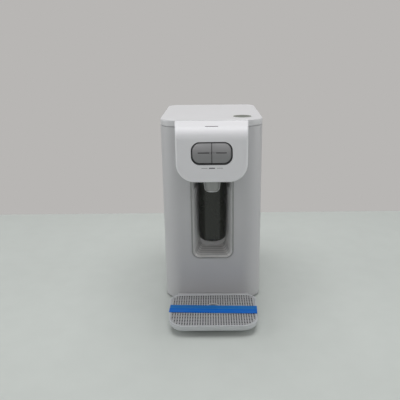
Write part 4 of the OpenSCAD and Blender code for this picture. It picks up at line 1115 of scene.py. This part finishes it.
    def _tape(self) -> None:
        """A creased strip of film that lies askew on the rim and the ring."""
        low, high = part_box("drip_tray")
        length = high.x - low.x - 2 * self.tape_inset
        middle = casing_front() - self.tape_front + self.tape_width / 2
        centre = Vector((0, middle, high.z + self.tape_gap))
        Bench.clear()
        bpy.ops.mesh.primitive_grid_add(
            x_subdivisions=self.columns, y_subdivisions=self.rows, size=1.0, location=centre
        )
        bpy.context.object.scale = (length, self.tape_width, 1.0)
        tape = Bench.settle("transit_tape")
        crease = self.crease_half * (self.tape_width / self.rows)
        Bench.pick_points(tape, lambda place: abs(place.y - centre.y) < crease)
        bpy.ops.transform.translate(value=(0, 0, self.crease))
        bpy.ops.mesh.select_all(action="SELECT")
        bpy.ops.transform.rotate(
            value=math.radians(self.tape_turn), orient_axis="Z", orient_type="GLOBAL",
            center_override=centre,
        )
        bpy.ops.object.mode_set(mode="OBJECT")
        self._ripple(tape)
        Bench.finish_modifier(tape, "SOLIDIFY", thickness=self.tape_thickness, offset=1.0)
        bpy.ops.object.shade_smooth_by_angle(angle=math.radians(CRISP_FILM))
        Bench.dress(tape, TAPE_NEAR_SLOPE_PAINTED_SHADING, Body.GRILLE, "grille")
        lean = math.tan(math.radians(self.tape_turn))

        def far_half(face: bpy.types.MeshPolygon) -> bool:
            """Whether a face lies behind the crease."""
            return face.center.y - centre.y + lean * (face.center.x - centre.x) > 0

        # The half behind the crease gets the other tone of the same film, as painted shading of
        # its slope.
        Bench.paint(tape, TAPE_FAR_SLOPE_PAINTED_SHADING, far_half)

    def _ripple(self, tape: bpy.types.Object) -> None:
        """Lifts the tape off its bed in soft ripples.

        Args:
            tape: The flat strip.
        """
        cloud = bpy.data.textures.new("tape_ripple", "CLOUDS")
        cloud.noise_scale = self.ripple_size
        Bench.finish_modifier(
            tape, "DISPLACE", texture=cloud, strength=self.ripple, mid_level=0.0,
            direction="Z", texture_coords="LOCAL",
        )


@dataclass
class WaterWorks:
    """Tank, pump, valve, tubes and electrics behind the niche.

    Attributes:
        nodes: Finishes of the nodes, which are all shown as they are.
    """

    nodes: Wardrobe = (
        (FITTING_GREY, ("inlet_fitting", "inlet_nut", "inlet_valve", "tank_cover", "spout_nut")),
        (TANK_MILKY, ("water_tank",)),
        (
            TUBE_MILKY,
            ("inlet_tube", "supply_tube", "filtered_tube", "suction_tube", "outlet_tube"),
        ),
        (RUBBER_BLACK, ("spout_gasket", "tank_gasket")),
        (BOARD_GREEN, ("power_board",)),
        (
            PART_BLACK,
            (
                "valve_coil", "dispense_pump", "power_parts", "cable_gland", "mains_wires",
                "signal_wires",
            ),
        ),
        (
            STEEL,
            (
                "level_probes", "pump_motor", "base_screws", "rear_screws", "nose_screws",
                "manifold_screws",
            ),
        ),
    )

    def build(self) -> None:
        """Dresses every inner node."""
        dress_nodes(self.nodes)


@dataclass(frozen=True)
class Lamp:
    """A square soft light.

    Attributes:
        name: Name of the lamp.
        place: Where it hangs.
        target: Point that it faces.
        size: Side of its square.
        power: Power in watts.
    """

    name: str
    place: Point
    target: Point
    size: float
    power: float

    def build(self) -> None:
        """Hangs the lamp and turns it to its target."""
        data = bpy.data.lights.new(self.name, "AREA")
        data.size = self.size
        data.energy = self.power
        lamp = bpy.data.objects.new(self.name, data)
        place, target = Vector(self.place), Vector(self.target)
        lamp.location = place
        lamp.rotation_euler = (target - place).to_track_quat("-Z", "Y").to_euler()
        bpy.context.scene.collection.objects.link(lamp)


@dataclass
class Studio:
    """Floor, light and camera.

    Attributes:
        sensor: Width of the camera's sensor in millimetres.
        lens: Focal length in millimetres.
        camera_out: Distance of the camera in front of the casing.
        camera_height: Height of the camera above the floor.
        pitch: Angle of the camera below the horizon, in degrees.
        roll: Tilt of the picture, in degrees.
        shift: Sideways shift of the picture, in picture widths.
        floor_behind: Distance of the floor's far edge behind the casing's front.
        floor_reach: Half width and forward reach of the floor.
        ambient_tone: Colour of the light from all around.
        ambient: Strength of that light.
        wall_tone: Colour of the wall that the camera and glossy pieces see.
        lamps: The soft lights.
    """

    sensor: float = 36.0
    lens: float = 45.19
    camera_out: float = 856.2 * MM
    camera_height: float = 459.7 * MM
    pitch: float = 17.03
    roll: float = 0.54
    shift: float = -0.0305
    floor_behind: float = 0.52
    floor_reach: float = 1.6
    ambient_tone: Colour = srgb(172, 171, 171)
    ambient: float = 0.27
    wall_tone: Colour = srgb(184, 182, 180)
    lamps: tuple[Lamp, ...] = (
        Lamp("front_top", (0.0, 0.1, 1.75), (0.0, -0.08, 0.3), 1.4, 18.7),
        Lamp("front_fill", (0.0, -1.62, 0.9), (0.0, -0.05, 0.17), 1.4, 6.4),
        Lamp("back_fill", (0.0, 1.9, 0.16), (0.0, 0.1, 0.17), 0.3, 4.5),
        Lamp("left_side", (-1.5, 0.0, 0.6), (0.0, 0.0, 0.17), 1.2, 7.2),
        Lamp("right_side", (1.5, 0.0, 0.6), (0.0, 0.0, 0.17), 1.2, 6.3),
    )

    def build(self) -> None:
        """Sets the whole stage."""
        bpy.context.scene.view_settings.view_transform = "Standard"
        self._floor()
        self._world()
        for lamp in self.lamps:
            lamp.build()
        self._camera()

    def _floor(self) -> None:
        """A pale sheet with a soft sheen, cut off behind the object."""
        Bench.clear()
        depth = self.floor_reach + self.floor_behind
        middle = Vector((0, casing_front() + self.floor_behind - depth / 2, 0))
        bpy.ops.mesh.primitive_plane_add(size=1.0, location=middle)
        bpy.context.object.scale = (2 * self.floor_reach, depth, 1.0)
        floor = Bench.settle("floor")
        floor.data.materials.append(FLOOR_PALE.material())

    def _world(self) -> None:
        """Soft grey surroundings that look like a pale wall to the camera."""
        world = bpy.data.worlds.new("studio")
        bpy.context.scene.world = world
        world.use_nodes = True
        tree = world.node_tree
        tree.nodes.clear()
        path = tree.nodes.new("ShaderNodeLightPath")
        soft = tree.nodes.new("ShaderNodeBackground")
        soft.inputs["Color"].default_value = (*self.ambient_tone, 1.0)
        soft.inputs["Strength"].default_value = self.ambient
        wall = tree.nodes.new("ShaderNodeBackground")
        wall.inputs["Color"].default_value = (*self.wall_tone, 1.0)
        mix = tree.nodes.new("ShaderNodeMixShader")
        output = tree.nodes.new("ShaderNodeOutputWorld")
        seen = path.outputs["Is Camera Ray"]
        for ray in ("Is Glossy Ray", "Is Transmission Ray"):
            either = tree.nodes.new("ShaderNodeMath")
            either.operation = "MAXIMUM"
            tree.links.new(seen, either.inputs[0])
            tree.links.new(path.outputs[ray], either.inputs[1])
            seen = either.outputs["Value"]
        tree.links.new(seen, mix.inputs["Fac"])
        tree.links.new(soft.outputs["Background"], mix.inputs[1])
        tree.links.new(wall.outputs["Background"], mix.inputs[2])
        tree.links.new(mix.outputs["Shader"], output.inputs["Surface"])

    def _camera(self) -> None:
        """The camera at the photograph's place."""
        data = bpy.data.cameras.new("camera")
        data.sensor_width = self.sensor
        data.lens = self.lens
        data.shift_x = self.shift
        camera = bpy.data.objects.new("camera", data)
        camera.location = (0.0, casing_front() - self.camera_out, self.camera_height)
        camera.rotation_euler = (math.radians(90 - self.pitch), 0.0, 0.0)
        camera.rotation_euler.rotate_axis("Z", -math.radians(self.roll))
        bpy.context.scene.collection.objects.link(camera)
        bpy.context.scene.camera = camera


def main() -> None:
    logging.basicConfig(level=logging.INFO, format="%(name)s: %(message)s")
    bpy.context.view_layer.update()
    for assembly in (Casing(), Buttons(), Filter(), DripTray(), WaterWorks(), Studio()):
        LOG.info("building %s", type(assembly).__name__)
        assembly.build()


if __name__ == "__main__":
    main()
